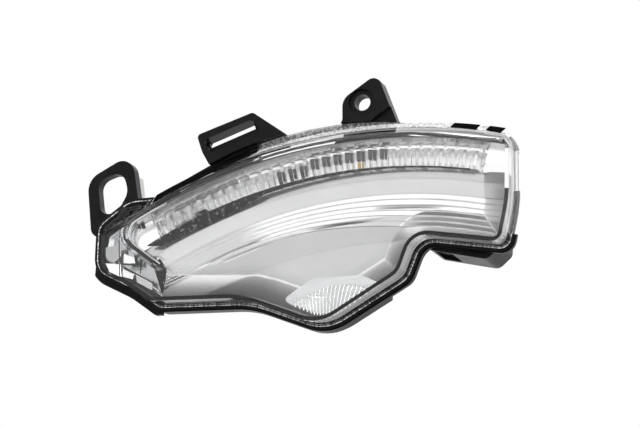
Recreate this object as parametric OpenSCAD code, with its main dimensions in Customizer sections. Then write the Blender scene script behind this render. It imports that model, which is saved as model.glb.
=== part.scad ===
// Door mirror side repeater lamp with a puddle light, in millimetres.
// X runs along the lamp, Y runs backwards from the clear lens into the mirror, Z is up.
// The origin is on the axis of the screw ear, in the joint plane of lens and housing.

/* [Lamp outline] */
// Distance from the screw axis to the inboard end of the lens flange
right_end = 63.4; // [60:0.2:72]
// Distance from the screw axis to the outboard end of the lens flange
left_end = 113.2; // [108:0.2:122]
// Depth of the long lower edge below the screw axis
lower_edge = 79.6; // [77:0.2:84]
// Depth of the belly with the puddle light below the long lower edge
belly_drop = 13.1; // [10:0.1:18]
// Depth of the step at the inboard end
step_edge = 58.6; // [55:0.2:61]

/* [Sweep of the light bar] */
// Centre of the long arc, along X
arc_x = 10.6; // [9:0.2:12]
// Depth of the arc's centre below the screw axis
arc_drop = 230.1; // [222:0.1:240]

/* [Outer lens] */
// Wall of the clear lens
lens_wall = 1.8; // [1.4:0.1:2.2]
// Reach of the lens in front of the joint plane
lens_reach = 16; // [15:0.2:20]
// Step from the flange edge to the lens wall
flange_step = 1; // [0.8:0.1:1.4]
// Thickness of the lens flange
flange_t = 1.8; // [1.2:0.1:2.6]
// Radius of the clear locating post
post_r = 2.4; // [1.5:0.1:3]

/* [Housing] */
// Wall of the black housing
wall = 2; // [1.5:0.1:2.5]
// Room between the screw heads and the floor of the tub
back_room = 0.95; // [0.3:0.05:5]
// Depth of the deep box at the inboard end
box_depth = 24; // [20:0.5:30]
// Overhang of the housing rim past the lens flange
rim_lip = 0.9; // [0.5:0.1:1.2]
// Width of the rim's skirt along the lower outboard corner
skirt = 3.2; // [1:0.1:4]
// Thickness of the housing rim
rim_t = 2.2; // [1.6:0.1:3]
// Reach of the black upstand inside the lens
upstand = 3; // [2:0.2:6]
// Step by which the back of the tub is narrower
back_in = 1.6; // [0.8:0.1:1.8]

/* [Light guide] */
// Radial height of the prism bar
guide_h = 9; // [7:0.2:9.4]
// Thickness of the prism bar from back to front
guide_t = 7.2; // [5:0.2:8]
// Number of prism blocks along the bar
blocks = 29; // [16:1:36]
// Width of the groove between two blocks
groove_w = 1.6; // [0.8:0.1:2.2]
// Length of the bar outboard of the arc's top
guide_left = 98.8; // [80:0.2:101]
// Length of the bar inboard of the arc's top
guide_right = 39.1; // [30:0.1:42]

/* [Reflector] */
// Thickness of the metallised moulding
skin = 1.8; // [1.4:0.1:2]
// Reach of the reflector's rim in front of the joint plane
mirror_reach = 13.2; // [10:0.2:14]
// Height of the sloping part of the satin band
satin_h = 5.7; // [4:0.1:7]
// Height of the field of stepped ribs
ribs_h = 11; // [8:0.2:13]
// Number of stepped ribs under the satin band
ribs = 5; // [3:1:7]
// Height of one step of the ribs
rib_h = 0.8; // [0.3:0.1:1.2]

/* [Puddle light] */
// Number of flutes across the puddle lens
flutes = 23; // [11:1:27]
// Depth of one flute
flute_d = 0.7; // [0.3:0.1:0.9]
// Reach of the puddle lens in front of the reflector floor
puddle_reach = 7; // [4:0.2:8]

/* [Mounting] */
// Radius of the screw hole
screw_r = 3.3; // [2.6:0.1:3.6]
// Radius of the pocket for the screw head
head_r = 5.3; // [4:0.1:5.4]
// Reach of the screw ear in front of the joint plane
ear_reach = 3.2; // [2:0.1:5]
// Depth of the pocket for the screw head
head_depth = 1.6; // [1:0.1:3]
// Thickness of the ears
ear_t = 5; // [4:0.1:6]
// Width of the slot in the hook bracket
slot_w = 20.2; // [15:0.1:21]
// Height of the slot in the hook bracket
slot_h = 3.2; // [2:0.1:3.6]

/* [Electrics] */
// Thickness of the circuit boards
board_t = 1.6; // [0.8:0.1:2]
// Inner width of the rear socket
socket_w = 13; // [12:0.2:16]
// Inner height of the rear socket
socket_h = 6.6; // [6:0.2:8]
// Depth of the rear socket behind the tub
socket_depth = 12; // [11:0.5:15]
// Radius of the cap of the breather
vent_r = 4; // [3:0.1:5]

/* [Hidden] */
// Running clearance between pieces that drop into each other
gap = 0.25;
// Play between the prism bar and its channel
play = 0.1;
// Shortfall that keeps an arc drawn in flats inside the true one
ease = 0.04;
upstand_t = 0.9;
// Length by which a cut runs past a face, so that the cut is clean
over = 1;
$fn = 96;

// Counts that the list of nodes fixes
pins = 4;
leds = 6;

led_w = 3.5;
led_h = 2.8;
led_t = 1.9;
window = 4.4;

arc_z = -arc_drop;
lens_top = arc_drop - 9.9;
core_r = lens_top - 120;
shoulder_r = lens_top - 6.6;
crown_mid = lens_top - 40.2;
crown_half = 44;
crown_drop = 2.2;
post_reach = 5.4;
crown_step = 9.6;
end_lean = 17.4;
guide_in = lens_top - 18.8;
guide_out = guide_in + guide_h;
guide_mid = guide_in + guide_h / 2;
bar_top = guide_out + 1.3;
satin_top = guide_in - 3.9;
satin_end = satin_top - satin_h;
rib_end = satin_end - ribs_h;
floor_r = rib_end - 7.8;
seat_y = -1.5;
land_y = -4;
floor_y = 2;
upstand_in = flange_step + lens_wall + gap;
mirror_in = upstand_in + upstand_t + gap;
mirror_t = 1;
tub_in = -rim_lip;
tub_step = 6;
free_in = lens_wall + gap;
slope_in = 0.4;
low_upstand = 1.4;
arc_from = 70;
arc_to = 130;
board_y = seat_y + skin + 0.4 + led_t + gap;
puddle_led_t = 1.6;
puddle_board_y = floor_y + skin + 1.5 + gap + puddle_led_t;
boss_end = board_y + board_t;
screw_head_t = 1.3;
tub_depth = puddle_board_y + board_t + screw_head_t + back_room + wall;
belly = lower_edge + belly_drop;

// Places as X and Z
post_at = [-99.6, -39.6];
vent_at = [-58, -56];
pipe_at = [-103.6, -57.4];
puddle_mid = [-11, -belly + 14.7];

// Corner points of the flange outline, each with its fillet radius.
outline = [
    [-left_end, -lower_edge + 17, 9], [-96.3, -lower_edge + 8.4, 30], [-85, -lower_edge + 0.1, 6],
    [-46.5, -lower_edge - 0.5, 40], [-14.8, -belly + 0.3, 18], [18.8, -belly + 19.6, 9.5],
    [24.6, -step_edge + 0.1, 7], [right_end - 4, -step_edge - 5.3, 5],
    [right_end, -45, 60], [right_end, -17.9, 8], [-22.8, -2.2, 142],
    [-87, -33.6, 8], [-99, -33.9, 10], [-left_end + 0.7, -43.4, 7]
];

// Corner points of the puddle lens from its middle, each with its fillet radius.
puddle = [[-22, -0.2, 1.5], [-10, 7.6, 7], [11, 8, 12], [22.2, 2.4, 2], [-2.8, -13.5, 12]];

// The deep box at the inboard end, seen from the front.
box_outline = [
    [23.4, -step_edge + 3.6, 3], [24.4, -step_edge - 1.8, 5], [49.2, -step_edge - 7.2, 4],
    [right_end - 8.8, -step_edge - 2.4, 3], [right_end - 8, -45, 5], [28, -45, 3]
];

// The side where the clear flange stands free, with the black wall drawn in behind it.
free_side = [[-43.5, 10], [-43.5, -26], [20, -40], [45, -57], [80, -57], [80, 10]];

// The side where only the tub is drawn in, behind the rim.
slope_side = [[10, -120], [10, -60], [30, -50], [80, -50], [80, -120]];

function unit(v) = v / norm(v);
function turn(a) = a > 180 ? a - 360 : a <= -180 ? a + 360 : a;

// Fillet at corner b between corners a and c: an arc that both edges touch.
function fillet(a, b, c, r, n) =
    let(u = unit([a[0] - b[0], a[1] - b[1]]), v = unit([c[0] - b[0], c[1] - b[1]]))
    let(half = acos(u * v) / 2, m = [b[0], b[1]] + unit(u + v) * r / sin(half))
    let(p = [b[0], b[1]] + u * r / tan(half) - m, q = [b[0], b[1]] + v * r / tan(half) - m)
    let(from = atan2(p[1], p[0]), sweep = turn(atan2(q[1], q[0]) - from))
    [for (i = [0:n]) m + r * [cos(from + sweep * i / n), sin(from + sweep * i / n)]];

function rounded(pts, n = 8) = [
    for (i = [0:len(pts) - 1])
        each fillet(pts[(i + len(pts) - 1) % len(pts)], pts[i], pts[(i + 1) % len(pts)], pts[i][2], n)
];

// Angle on the arc, for a length s along the light bar that is positive outboard.
function bar_angle(s) = 90 + s / guide_mid * 180 / PI;

// Point of the light bar, s along it and r from the arc's centre.
function bar_point(s, r) = [arc_x + r * cos(bar_angle(s)), arc_z + r * sin(bar_angle(s))];

// Closed band along the light bar between two radii.
function band(s0, s1, r0, r1, n = 24) = [
    for (i = [0:n]) bar_point(s0 + (s1 - s0) * i / n, r1),
    for (i = [0:n]) bar_point(s1 + (s0 - s1) * i / n, r0)
];

// A flat drawing in X and Z, given thickness from y0 back to y1.
module slab(y0, y1) {
    translate([0, y1, 0]) rotate([90, 0, 0]) linear_extrude(y1 - y0) children();
}

module flange_shape(inset = 0) {
    offset(delta = -inset) polygon(rounded(outline));
}

// What lies inside the arc of radius r.
module below_arc(r) {
    polygon(band(-90, 150, 100, r, 60));
}

// Outline of the lens wall, shrunk by t; along the top it follows the arc.
module inner_shape(t) {
    intersection() {
        flange_shape(flange_step + t);
        below_arc(lens_top - t - ease);
    }
}

// What the chosen side loses when its wall is drawn in behind the clear flange.
module free_edge() {
    difference() {
        polygon(free_side);
        inner_shape(free_in);
    }
}

module rim_shape() {
    difference() {
        flange_shape(-rim_lip);
        free_edge();
    }
}

module tub_shape(inset = 0) {
    offset(delta = -inset) difference() {
        flange_shape(tub_in);
        free_edge();
        difference() {
            polygon(slope_side);
            flange_shape(slope_in);
        }
    }
}

module puddle_shape(inset = 0) {
    offset(delta = -inset) translate(puddle_mid) polygon(rounded(puddle));
}

// Carries a section of radius and forward reach along the arc.
module along_bar() {
    translate([arc_x, 0, arc_z]) rotate([90, 0, 0]) rotate([0, 0, arc_from])
        rotate_extrude(angle = arc_to - arc_from, $fn = 240) children();
}

// Local frame on the light bar: x outwards from the arc's centre, y outboard, z forwards.
module on_bar(s) {
    translate([arc_x, 0, arc_z]) rotate([90, 0, 0]) rotate([0, 0, bar_angle(s)]) children();
}

// Forward face of the lens as reach over radius: an arc that is fullest at mid height.
function crown(r) = lens_reach - pow((r - crown_mid) / crown_half, 2) * crown_drop;

// The space that the lens closes, shrunk by t all round and open back to the given depth.
module lens_space(t, back = over) {
    top = lens_top - t;
    intersection() {
        slab(-lens_reach - over, back) flange_shape(flange_step + t);
        along_bar() polygon(concat(
            [[core_r, -back], [top, -back], [top, flange_t]],
            [for (i = [0:10]) let(r = shoulder_r - t - i * crown_step) [r, crown(r) - t]],
            [[core_r, crown(core_r) - t]]
        ));
        end_wedge(t, back);
    }
}

// Half space that leans the outboard end of the lens back towards the flange.
module end_wedge(t, back) {
    reach = lens_reach + 2 * over;
    foot = -left_end + flange_step + t;
    translate([0, 0, -150]) linear_extrude(200) polygon([
        [foot, back + over], [foot, -flange_t], [foot + end_lean, -reach],
        [right_end + 20, -reach], [right_end + 20, back + over]
    ]);
}

module outer_lens() {
    color([0.92, 0.94, 0.95, 0.35]) difference() {
        union() {
            lens_space(0);
            slab(-flange_t, 0) flange_shape();
            lens_post();
        }
        lens_space(lens_wall);
        slab(0, 4 * over) flange_shape(-over);
    }
}

// Locating post on the flange beside the outboard ear.
module lens_post() {
    translate([post_at[0], -flange_t / 2, post_at[1]])
        rotate([90, 0, 0]) cylinder(r = post_r, h = post_reach);
}

module housing() {
    color([0.05, 0.05, 0.055]) difference() {
        union() {
            slab(0, rim_t) rim_shape();
            slab(rim_t, tub_step) tub_shape();
            slab(tub_step, tub_depth - 1) tub_shape(back_in);
            slab(tub_depth - 1, tub_depth) tub_shape(back_in + 1);
            slab(rim_t, box_depth) polygon(rounded(box_outline));
            rim_skirt();
            upstand_wall();
            rim_hooks();
            screw_ear();
            loop_ear();
            hook_bracket();
            socket_shell();
            vent_ring();
        }
        slab(-over, floor_y + skin + gap) inner_shape(free_in + upstand_t);
        slab(rim_t, tub_step - wall) tub_shape(wall);
        slab(rim_t, tub_depth - wall) tub_shape(wall + back_in);
        slab(rim_t, box_depth - wall) offset(delta = -wall) polygon(rounded(box_outline));
        box_recess();
        screw_hole();
        loop_hole();
        bracket_slot();
        socket_holes();
        for (i = [0:pins - 1]) terminal(i, 0.05);
        vent_hole();
    }
}

// Wider rim along the lower outboard corner.
module rim_skirt() {
    slab(0.4, rim_t + 1) intersection() {
        difference() {
            flange_shape(-skirt);
            flange_shape(1);
        }
        polygon([[-left_end - 0.4, -56], [-100, -50], [-85, -76], [-85, -lower_edge - 1.7],
            [-110, -lower_edge - 1.7], [-left_end - 1.4, -67]]);
    }
}

// Black upstand inside the lens wall; only a low one is left where the clear flange stands free.
module upstand_wall() {
    intersection() {
        slab(-upstand, rim_t) difference() {
            inner_shape(free_in);
            inner_shape(free_in + upstand_t);
        }
        lens_space(lens_wall + gap);
        union() {
            slab(-upstand - over, rim_t + over) polygon([[-left_end, -100], [80, -100], [80, -54],
                [40, -46], [-20, -46], [-60, -18], [-left_end, -18]]);
            slab(-low_upstand, rim_t + over) translate([-150, -150]) square(300);
        }
    }
}

// Lugs of the rim that lap over the lens flange along the top: a long one and two short ones,
// which a web behind the flange ties to the wall.
module rim_hooks() {
    slab(-flange_t - 1, rim_t) hook_strip(hook_spans, 0.5, -gap);
    slab(-flange_t - 1, -flange_t - gap / 3) hook_strip(hook_spans, 0.5, flange_step - gap / 2);
    slab(gap, rim_t) hook_strip(web_spans, 0.5, free_in + flange_step + upstand_t / 2);
}

hook_spans = [
    [[-85.6, -40], [-85.6, -20], [-43.5, -5], [-43.5, -30]],
    [[36.8, -22], [36.8, -8], [47.2, -8], [47.2, -22]],
    [[51.2, -24], [51.2, -8], [56.4, -10], [56.4, -24]]
];
web_spans = [
    [[40, -22], [40, -8], [42, -8], [42, -22]],
    [[53, -24], [53, -8], [54.6, -8], [54.6, -24]]
];

// Strip along the flange from its edge plus one width to its edge less another, on the chosen spans.
module hook_strip(spans, outer, inner) {
    for (span = spans) intersection() {
        difference() {
            flange_shape(-outer);
            flange_shape(inner);
        }
        polygon(span);
    }
}

// Screw ear: a thick plate with straight sides, whose root stands on the wall behind the flange.
ear = [[-13.8, -15, 1], [-7.9, -7.2, 3], [-7.9, 1.6, 6], [4.8, 9.9, 3.4], [7.7, 8.2, 2.2], [16.4, -15, 1]];
ear_step = [[3.4, -8.2], [12.6, -2], [20, -2], [20, -20], [3.4, -20]];
root_t = 4;
root_z = -7.5;

module screw_ear() {
    slab(-ear_reach, 0) difference() {
        polygon(rounded(ear));
        polygon(ear_step);
        flange_shape(-gap);
    }
    slab(-ear_reach + 2.2, 0) difference() {
        polygon(rounded(ear));
        flange_shape(-gap);
    }
    slab(0, ear_t) polygon(rounded(ear));
    slab(ear_t, ear_t + root_t) intersection() {
        polygon(rounded(ear));
        translate([-30, root_z - 30]) square([60, 30]);
    }
}

module screw_hole() {
    translate([0, ear_t + over, 0]) rotate([90, 0, 0]) cylinder(r = screw_r, h = 30);
    translate([0, -ear_reach + head_depth, 0]) rotate([90, 0, 0]) cylinder(r = head_r, h = 20);
}

// Outboard ear: a loop that slips over a stud of the mirror frame.
loop_out = [[-left_end - 5, -23.6, 8], [-101.6, -15, 5.5], [-97.8, -20, 6], [-95.4, -36, 2],
    [-106.6, -48, 2], [-left_end + 2, -49, 3], [-left_end - 3, -46.4, 4]];
loop_in = [[-left_end - 0.4, -24.4, 5], [-102.6, -20.6, 4.5], [-100.2, -30, 7], [-105.2, -38.6, 5],
    [-left_end + 1.2, -38.2, 3.4]];

module loop_ear() {
    slab(0, ear_t) polygon(rounded(loop_out));
}

module loop_hole() {
    slab(-over, ear_t + 2 * over) polygon(rounded(loop_in, 6));
}

// Hook bracket: a raised frame round a thin web, whose slot takes a tongue of the mirror frame.
bracket = [[-68.7, -9.4, 1.6], [-44.9, -1.6, 2], [-28, -13.6, 1], [-62, -24.4, 1], [-66.4, -16.5, 8]];
pocket = [[-65.9, -12.2, 1], [-45.2, -4.9, 1.5], [-40.9, -9.6, 1.5], [-62.6, -16.9, 1]];
slot_x = -54.8;
slot_z = -9.5;
slot_turn = 19.4;

module hook_bracket() {
    slab(-5.4, 3) difference() {
        polygon(rounded(bracket, 4));
        polygon(rounded(pocket, 4));
        flange_shape(-gap);
    }
    slab(-1.8, 0.2) difference() {
        polygon(rounded(bracket, 4));
        flange_shape(-gap);
    }
}

module bracket_slot() {
    translate([slot_x, 0, slot_z]) rotate([0, -slot_turn, 0]) cube([slot_w, 30, slot_h], center = true);
}

// Shallow smooth recess in the underside of the deep box.
module box_recess() {
    translate([24.4, rim_t + 1, -step_edge - 1.4]) rotate([0, 9.1, 0])
        translate([3.4, 0, -over]) cube([15.6, box_depth - rim_t - 4, over + 0.8]);
}

// Rear socket: a shroud round the contact pins.
socket_s = -11;
socket_wall = 1.6;

module socket_shell() {
    on_bar(socket_s) translate([guide_mid, 0, -tub_depth - socket_depth / 2])
        cube([socket_h + 2 * socket_wall, socket_w + 2 * socket_wall, socket_depth], center = true);
}

module socket_holes() {
    on_bar(socket_s) translate([guide_mid, 0, -tub_depth - socket_depth / 2 - over])
        cube([socket_h, socket_w, socket_depth + 2 * over], center = true);
}

module vent_ring() {
    translate([vent_at[0], tub_depth, vent_at[1]]) rotate([-90, 0, 0]) cylinder(r = vent_r + 1.4, h = 1.6);
}

module vent_hole() {
    translate([vent_at[0], tub_depth, vent_at[1]]) rotate([-90, 0, 0]) {
        cylinder(r = vent_r, h = 4);
        translate([0, 0, -wall - over]) cylinder(r = 1.5, h = wall + 2 * over);
    }
}

// The side of the lamp that the light bar and the reflector take up, seen from the front.
bar_side = [[-94, 30], [-94, -53.8], [-82.3, -63.1], [-82.3, -110], [90, -110], [90, 30]];

// The bar's share of the reflector; the rest has a flat floor.
module bar_region() {
    intersection() {
        polygon(bar_side);
        polygon(band(-70, 140, floor_r - 1, core_r + 140));
    }
}

// Section of the reflector across the light bar, as radius and forward reach.
function mirror_front() = concat(
    [[bar_top + 1.8, 5.4], [bar_top, -seat_y], [guide_in - play, -seat_y], [guide_in - play, -land_y],
        [satin_top, -land_y], [satin_end, 1]],
    [for (i = [0:ribs - 1]) let(r = satin_end - i * rib_pitch, h = 1 - i * rib_fall)
        each [[r, h + rib_h], [r - rib_pitch, h - rib_fall]]],
    [[floor_r, -floor_y], [floor_r - 2, -floor_y]]
);
function mirror_back() = [
    [floor_r - 2, -floor_y - skin], [rib_end, -0.5 - skin], [satin_end, 0.7 - skin],
    [satin_top - 1.2, -land_y - skin - 0.3], [guide_in - 1.6, -land_y - skin],
    [guide_in - 1.6, -seat_y - skin], [bar_top + 1.6, -seat_y - skin], [bar_top + 3.4, 5.4]
];
rib_pitch = (satin_end - rib_end) / ribs;
rib_fall = 1.5 / ribs;

module reflector() {
    color([0.8, 0.8, 0.81]) {
        mirror_body();
        for (s = screw_s) on_bar(s) translate([guide_mid, 0, 0]) board_post(-seat_y - skin, -board_y);
        for (x = puddle_screw_x) translate([x, 0, puddle_screw_z])
            rotate([90, 0, 0]) board_post(-floor_y - skin, -puddle_board_y);
    }
}

module mirror_body() {
    difference() {
        intersection() {
            union() {
                intersection() {
                    along_bar() polygon(concat(mirror_front(), mirror_back()));
                    slab(-lens_reach, 20) intersection() {
                        mirror_shape();
                        polygon(bar_side);
                    }
                }
                slab(floor_y, floor_y + skin) difference() {
                    mirror_shape();
                    bar_region();
                }
                slab(-mirror_reach, floor_y + skin) mirror_rim();
                slab(-mirror_reach, -upstand) mirror_rim(-mirror_in + upstand_in + gap / 2);
                slab(-7, floor_y + skin) end_wall();
            }
            lens_space(lens_wall + gap, 20);
        }
        slab(-lens_reach, 20) puddle_opening(-gap);
        slab(-lens_reach, -upstand + over) puddle_shape(-gap);
        for (i = [0:leds - 1]) led_window(led_s(i));
    }
}

// What the housing leaves for the reflector, shrunk by t.
module mirror_shape(t = 0) {
    inner_shape(mirror_in - flange_step + t);
}

// Upright edge of the reflector below the light bar.
module mirror_rim(t = 0) {
    difference() {
        mirror_shape(t);
        mirror_shape(mirror_t);
        polygon(band(-70, 140, satin_top, core_r + 140));
    }
}

// Wall between the outboard optic and the reflector.
module end_wall() {
    intersection() {
        mirror_shape();
        difference() {
            polygon(bar_side);
            offset(delta = -1.4) polygon(bar_side);
            translate([-80, -200]) square(400);
        }
    }
}

// Post with a blind pilot hole, standing back from reach h0 to reach h1.
module board_post(h0, h1) {
    difference() {
        translate([0, 0, h1]) cylinder(r = 2.4, h = h0 - h1 + 0.4);
        translate([0, 0, h1 - over]) cylinder(r = pilot_r, h = h0 - h1 + over - 0.2);
    }
}
pilot_r = 1.1;
screw_s = [-guide_right + 11.1, guide_left - 30.8];
puddle_screw_x = [puddle_mid[0] - 15, puddle_mid[0] + 15];
puddle_screw_z = puddle_mid[1] + 12.6;

// Place of a light source along the bar
led_first = -2;
led_pitch = 9.5;
function led_s(i) = led_first + i * led_pitch;

module led_window(s) {
    on_bar(s) translate([guide_mid, 0, -seat_y - skin / 2])
        cube([window, window, skin + over], center = true);
}

module puddle_opening(inset) {
    intersection() {
        puddle_shape(inset);
        flange_shape(mirror_in + gap + inset);
    }
}

// Prism bar: a clear bar bent along the arc in flats, its front cut into blocks.
tab_s = guide_left - 19.8;
tab_w = 4.2;

module light_guide() {
    front = guide_t - seat_y;
    pitch = (guide_left + guide_right) / blocks;
    side = groove_w / sqrt(2);
    color([0.93, 0.95, 0.96, 0.5]) difference() {
        slab(-front, seat_y) polygon(band(-guide_right, guide_left, guide_in, guide_out, blocks));
        for (i = [1:blocks - 1]) on_bar(i * pitch - guide_right)
            translate([guide_mid, 0, front]) rotate([45, 0, 0])
                cube([guide_h + 2 * over, side, side], center = true);
        for (i = [0:blocks - 1]) on_bar((i + 0.5) * pitch - guide_right)
            translate([guide_mid, 0, -seat_y]) rotate([45, 0, 0])
                cube([guide_h - 3, 1, 1], center = true);
        on_bar(tab_s) translate([guide_in, 0, front])
            cube([3.4, tab_w + 2 * gap, 8], center = true);
    }
}

// Height of the black strip below the prism bar: thin inboard, full outboard.
function strip_h(s) = let(t = max(0, min(1, (s - 46) / 24))) 0.4 + 3.4 * t * t * (3 - 2 * t);

module guide_carrier() {
    s0 = led_first;
    s1 = guide_left + 2.5;
    n = 40;
    front = guide_t - seat_y - gap;
    color([0.04, 0.04, 0.045]) {
        slab(-front, land_y) intersection() {
            polygon([
                for (i = [0:n]) bar_point(s0 + (s1 - s0) * i / n, guide_in - gap),
                for (i = [0:n]) let(s = s1 + (s0 - s1) * i / n) bar_point(s, guide_in - gap - strip_h(s))
            ]);
            offset(delta = -1.4 - gap) polygon(bar_side);
        }
        on_bar(tab_s) translate([guide_in + 0.3, 0, front - 1.6]) cube([2, tab_w, 3.2], center = true);
    }
}

// Clear stepped block at the outboard end, with a round light pipe.
module side_optic() {
    color([0.93, 0.95, 0.96, 0.5]) intersection() {
        difference() {
            union() {
                slab(-5.6, floor_y) optic_shape();
                translate([pipe_at[0], floor_y, pipe_at[1]]) rotate([90, 0, 0]) cylinder(r = 3.6, h = 8.4);
            }
            for (i = [0:3]) translate([-94.5, -5.6, -61 - i * 2.9]) rotate([0, 30, 0]) rotate([45, 0, 0])
                cube([34, 1.3, 1.3], center = true);
        }
        slab(-lens_reach, 20) mirror_shape(mirror_t + gap);
        lens_space(lens_wall + gap, 20);
    }
}

module optic_shape() {
    difference() {
        mirror_shape(mirror_t + gap);
        offset(delta = gap) polygon(bar_side);
    }
}

// Puddle lens: a plug with a sloping fluted face, held by a flange behind the reflector.
puddle_slope = 17.9;

module puddle_lens() {
    front = floor_y - puddle_reach;
    mid_y = front + 3.4;
    side = flute_d * sqrt(2);
    pitch = 42 / flutes;
    color([0.93, 0.95, 0.96, 0.5]) difference() {
        union() {
            slab(front - 2, floor_y + skin) puddle_opening(0);
            slab(floor_y + skin, floor_y + skin + 1.5) intersection() {
                puddle_shape(-1.6);
                flange_shape(mirror_in + 0.4);
            }
        }
        translate([puddle_mid[0], mid_y, puddle_mid[1]]) rotate([-puddle_slope, 0, 0])
            translate([0, -20, 0]) cube([80, 40, 60], center = true);
        for (i = [0:flutes - 1]) let(k = i - (flutes - 1) / 2)
            translate([puddle_mid[0] + k * pitch, mid_y, puddle_mid[1]]) rotate([-puddle_slope, 0, 0])
                rotate([0, k * 0.9, 0]) rotate([0, 0, 45]) cube([side, side, 40], center = true);
    }
}

module signal_board() {
    color([0.1, 0.35, 0.2]) difference() {
        slab(board_y, boss_end)
            polygon(band(-guide_right + 3.1, guide_left - 6.8, guide_in + 0.6, guide_out + 0.8));
        for (s = screw_s) on_bar(s) translate([guide_mid, 0, -20]) cylinder(r = pilot_r + 0.2, h = 30);
    }
}

module signal_led(i) {
    color([0.95, 0.8, 0.35]) on_bar(led_s(i)) translate([guide_mid, 0, -board_y + led_t / 2])
        cube([led_h, led_w, led_t], center = true);
}

module driver_chip() {
    color([0.08, 0.08, 0.08]) on_bar(16) translate([guide_mid, 0, -boss_end - 0.75])
        cube([4, 5, 1.5], center = true);
}

module resistors() {
    color([0.12, 0.12, 0.13]) for (s = [28, 34, 40, 46]) on_bar(s)
        translate([guide_mid, 0, -boss_end - 0.3]) cube([3.2, 1.6, 0.6], center = true);
}

module capacitor() {
    color([0.55, 0.45, 0.3]) on_bar(54) translate([guide_mid, 0, -boss_end - 0.9])
        cube([3.2, 2.5, 1.8], center = true);
}

module puddle_board() {
    color([0.1, 0.35, 0.2]) difference() {
        slab(puddle_board_y, puddle_board_y + board_t) intersection() {
            translate(puddle_mid) polygon(rounded([
                [-18.5, 16, 1], [-18.5, 5, 1], [-9, -4, 1], [9, -4, 1], [18.5, 5, 1], [18.5, 16, 1]]));
            tub_shape(wall + back_in + gap);
        }
        for (x = puddle_screw_x) translate([x, 30, puddle_screw_z]) rotate([90, 0, 0])
            cylinder(r = pilot_r + 0.2, h = 30);
    }
}

module puddle_led() {
    color([0.95, 0.93, 0.8]) translate([puddle_mid[0], puddle_board_y - puddle_led_t / 2, puddle_mid[1]])
        cube([3.5, puddle_led_t, 3.5], center = true);
}

// Pan head screw whose head bears on the board's back, in the local frame of a post.
module board_screw(h1, depth) {
    translate([0, 0, -h1 - board_t - screw_head_t]) difference() {
        cylinder(r = 2.1, h = screw_head_t);
        translate([0, 0, 0.2]) cube([2.6, 0.6, 1], center = true);
        translate([0, 0, 0.2]) cube([0.6, 2.6, 1], center = true);
    }
    translate([0, 0, -h1 - board_t]) cylinder(r = pilot_r - 0.05, h = board_t + depth);
}

module board_screws() {
    color([0.7, 0.7, 0.72]) {
        for (s = screw_s) on_bar(s) translate([guide_mid, 0, 0]) board_screw(board_y, 1.8);
        for (x = puddle_screw_x) translate([x, 0, puddle_screw_z]) rotate([90, 0, 0])
            board_screw(puddle_board_y, 2.6);
    }
}

// Flat jumper cable from the signal board down to the puddle board.
module flat_jumper() {
    t = 0.3;
    back = puddle_board_y + board_t;
    top_z = arc_z + guide_in + 4;
    low_z = puddle_mid[1] + 18;
    lap = 6;
    color([0.85, 0.85, 0.8]) translate([puddle_mid[0] - lap / 2, 0, 0])
        rotate([90, 0, 90]) linear_extrude(lap) polygon([
            [boss_end, top_z], [boss_end, top_z - lap], [back, low_z], [back, low_z - lap],
            [back + t, low_z - lap], [back + t, low_z + t],
            [boss_end + t, top_z - lap + t], [boss_end + t, top_z]
        ]);
}

function pin_y(i) = (i - (pins - 1) / 2) * 2.8;

module terminal(i, slack = 0) {
    deep = tub_depth + 6.5;
    on_bar(socket_s) translate([guide_mid, pin_y(i), -(deep + boss_end) / 2])
        cube([0.8 + 2 * slack, 1 + 2 * slack, deep - boss_end], center = true);
}

module vent_membrane() {
    color([0.9, 0.9, 0.9]) translate([vent_at[0], tub_depth, vent_at[1]])
        rotate([-90, 0, 0]) cylinder(r = vent_r - 0.1, h = 0.5);
}

// Pale tab on the back of the outboard ear.
module locating_tab() {
    color([0.86, 0.86, 0.84]) slab(ear_t, ear_t + 10)
        polygon([[-101.2, -21], [-99.4, -21.4], [-98.2, -33], [-100.4, -33]]);
}

housing();
outer_lens();
reflector();
light_guide();
guide_carrier();
side_optic();
puddle_lens();
signal_board();
signal_led(0);  // signal_led_1
signal_led(1);  // signal_led_2
signal_led(2);  // signal_led_3
signal_led(3);  // signal_led_4
signal_led(4);  // signal_led_5
signal_led(5);  // signal_led_6
driver_chip();
resistors();
capacitor();
puddle_board();
puddle_led();
board_screws();
flat_jumper();
color([0.8, 0.65, 0.3]) terminal(0);  // terminal_1
color([0.8, 0.65, 0.3]) terminal(1);  // terminal_2
color([0.8, 0.65, 0.3]) terminal(2);  // terminal_3
color([0.8, 0.65, 0.3]) terminal(3);  // terminal_4
vent_membrane();
locating_tab();
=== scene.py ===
# %% [markdown]
# # A side repeater lamp, dressed around its CAD model
#
# The lamp sits in a door mirror: a black housing, a clear outer lens, and between them a satin
# reflector, a curved bar of clear prisms, a stepped clear block and a fluted lens for the light
# that falls on the ground. The CAD model fixes its size. This lesson gives each piece the
# surface and the finish that the real one shows.

import math

import bmesh
import bpy
import numpy as np
from mathutils import Matrix, Vector


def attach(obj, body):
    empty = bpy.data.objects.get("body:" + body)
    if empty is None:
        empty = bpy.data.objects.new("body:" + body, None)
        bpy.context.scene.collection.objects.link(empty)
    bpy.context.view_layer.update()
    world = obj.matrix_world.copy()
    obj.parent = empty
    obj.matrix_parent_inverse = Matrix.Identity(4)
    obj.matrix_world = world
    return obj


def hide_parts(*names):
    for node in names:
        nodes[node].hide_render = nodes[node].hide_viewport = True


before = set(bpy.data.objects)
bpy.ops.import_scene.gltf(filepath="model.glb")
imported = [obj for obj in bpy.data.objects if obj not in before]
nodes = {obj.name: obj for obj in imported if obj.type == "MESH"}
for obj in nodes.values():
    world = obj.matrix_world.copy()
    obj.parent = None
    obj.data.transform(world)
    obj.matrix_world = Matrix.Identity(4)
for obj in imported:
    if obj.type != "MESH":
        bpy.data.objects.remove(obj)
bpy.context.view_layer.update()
MM = 0.001


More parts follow.
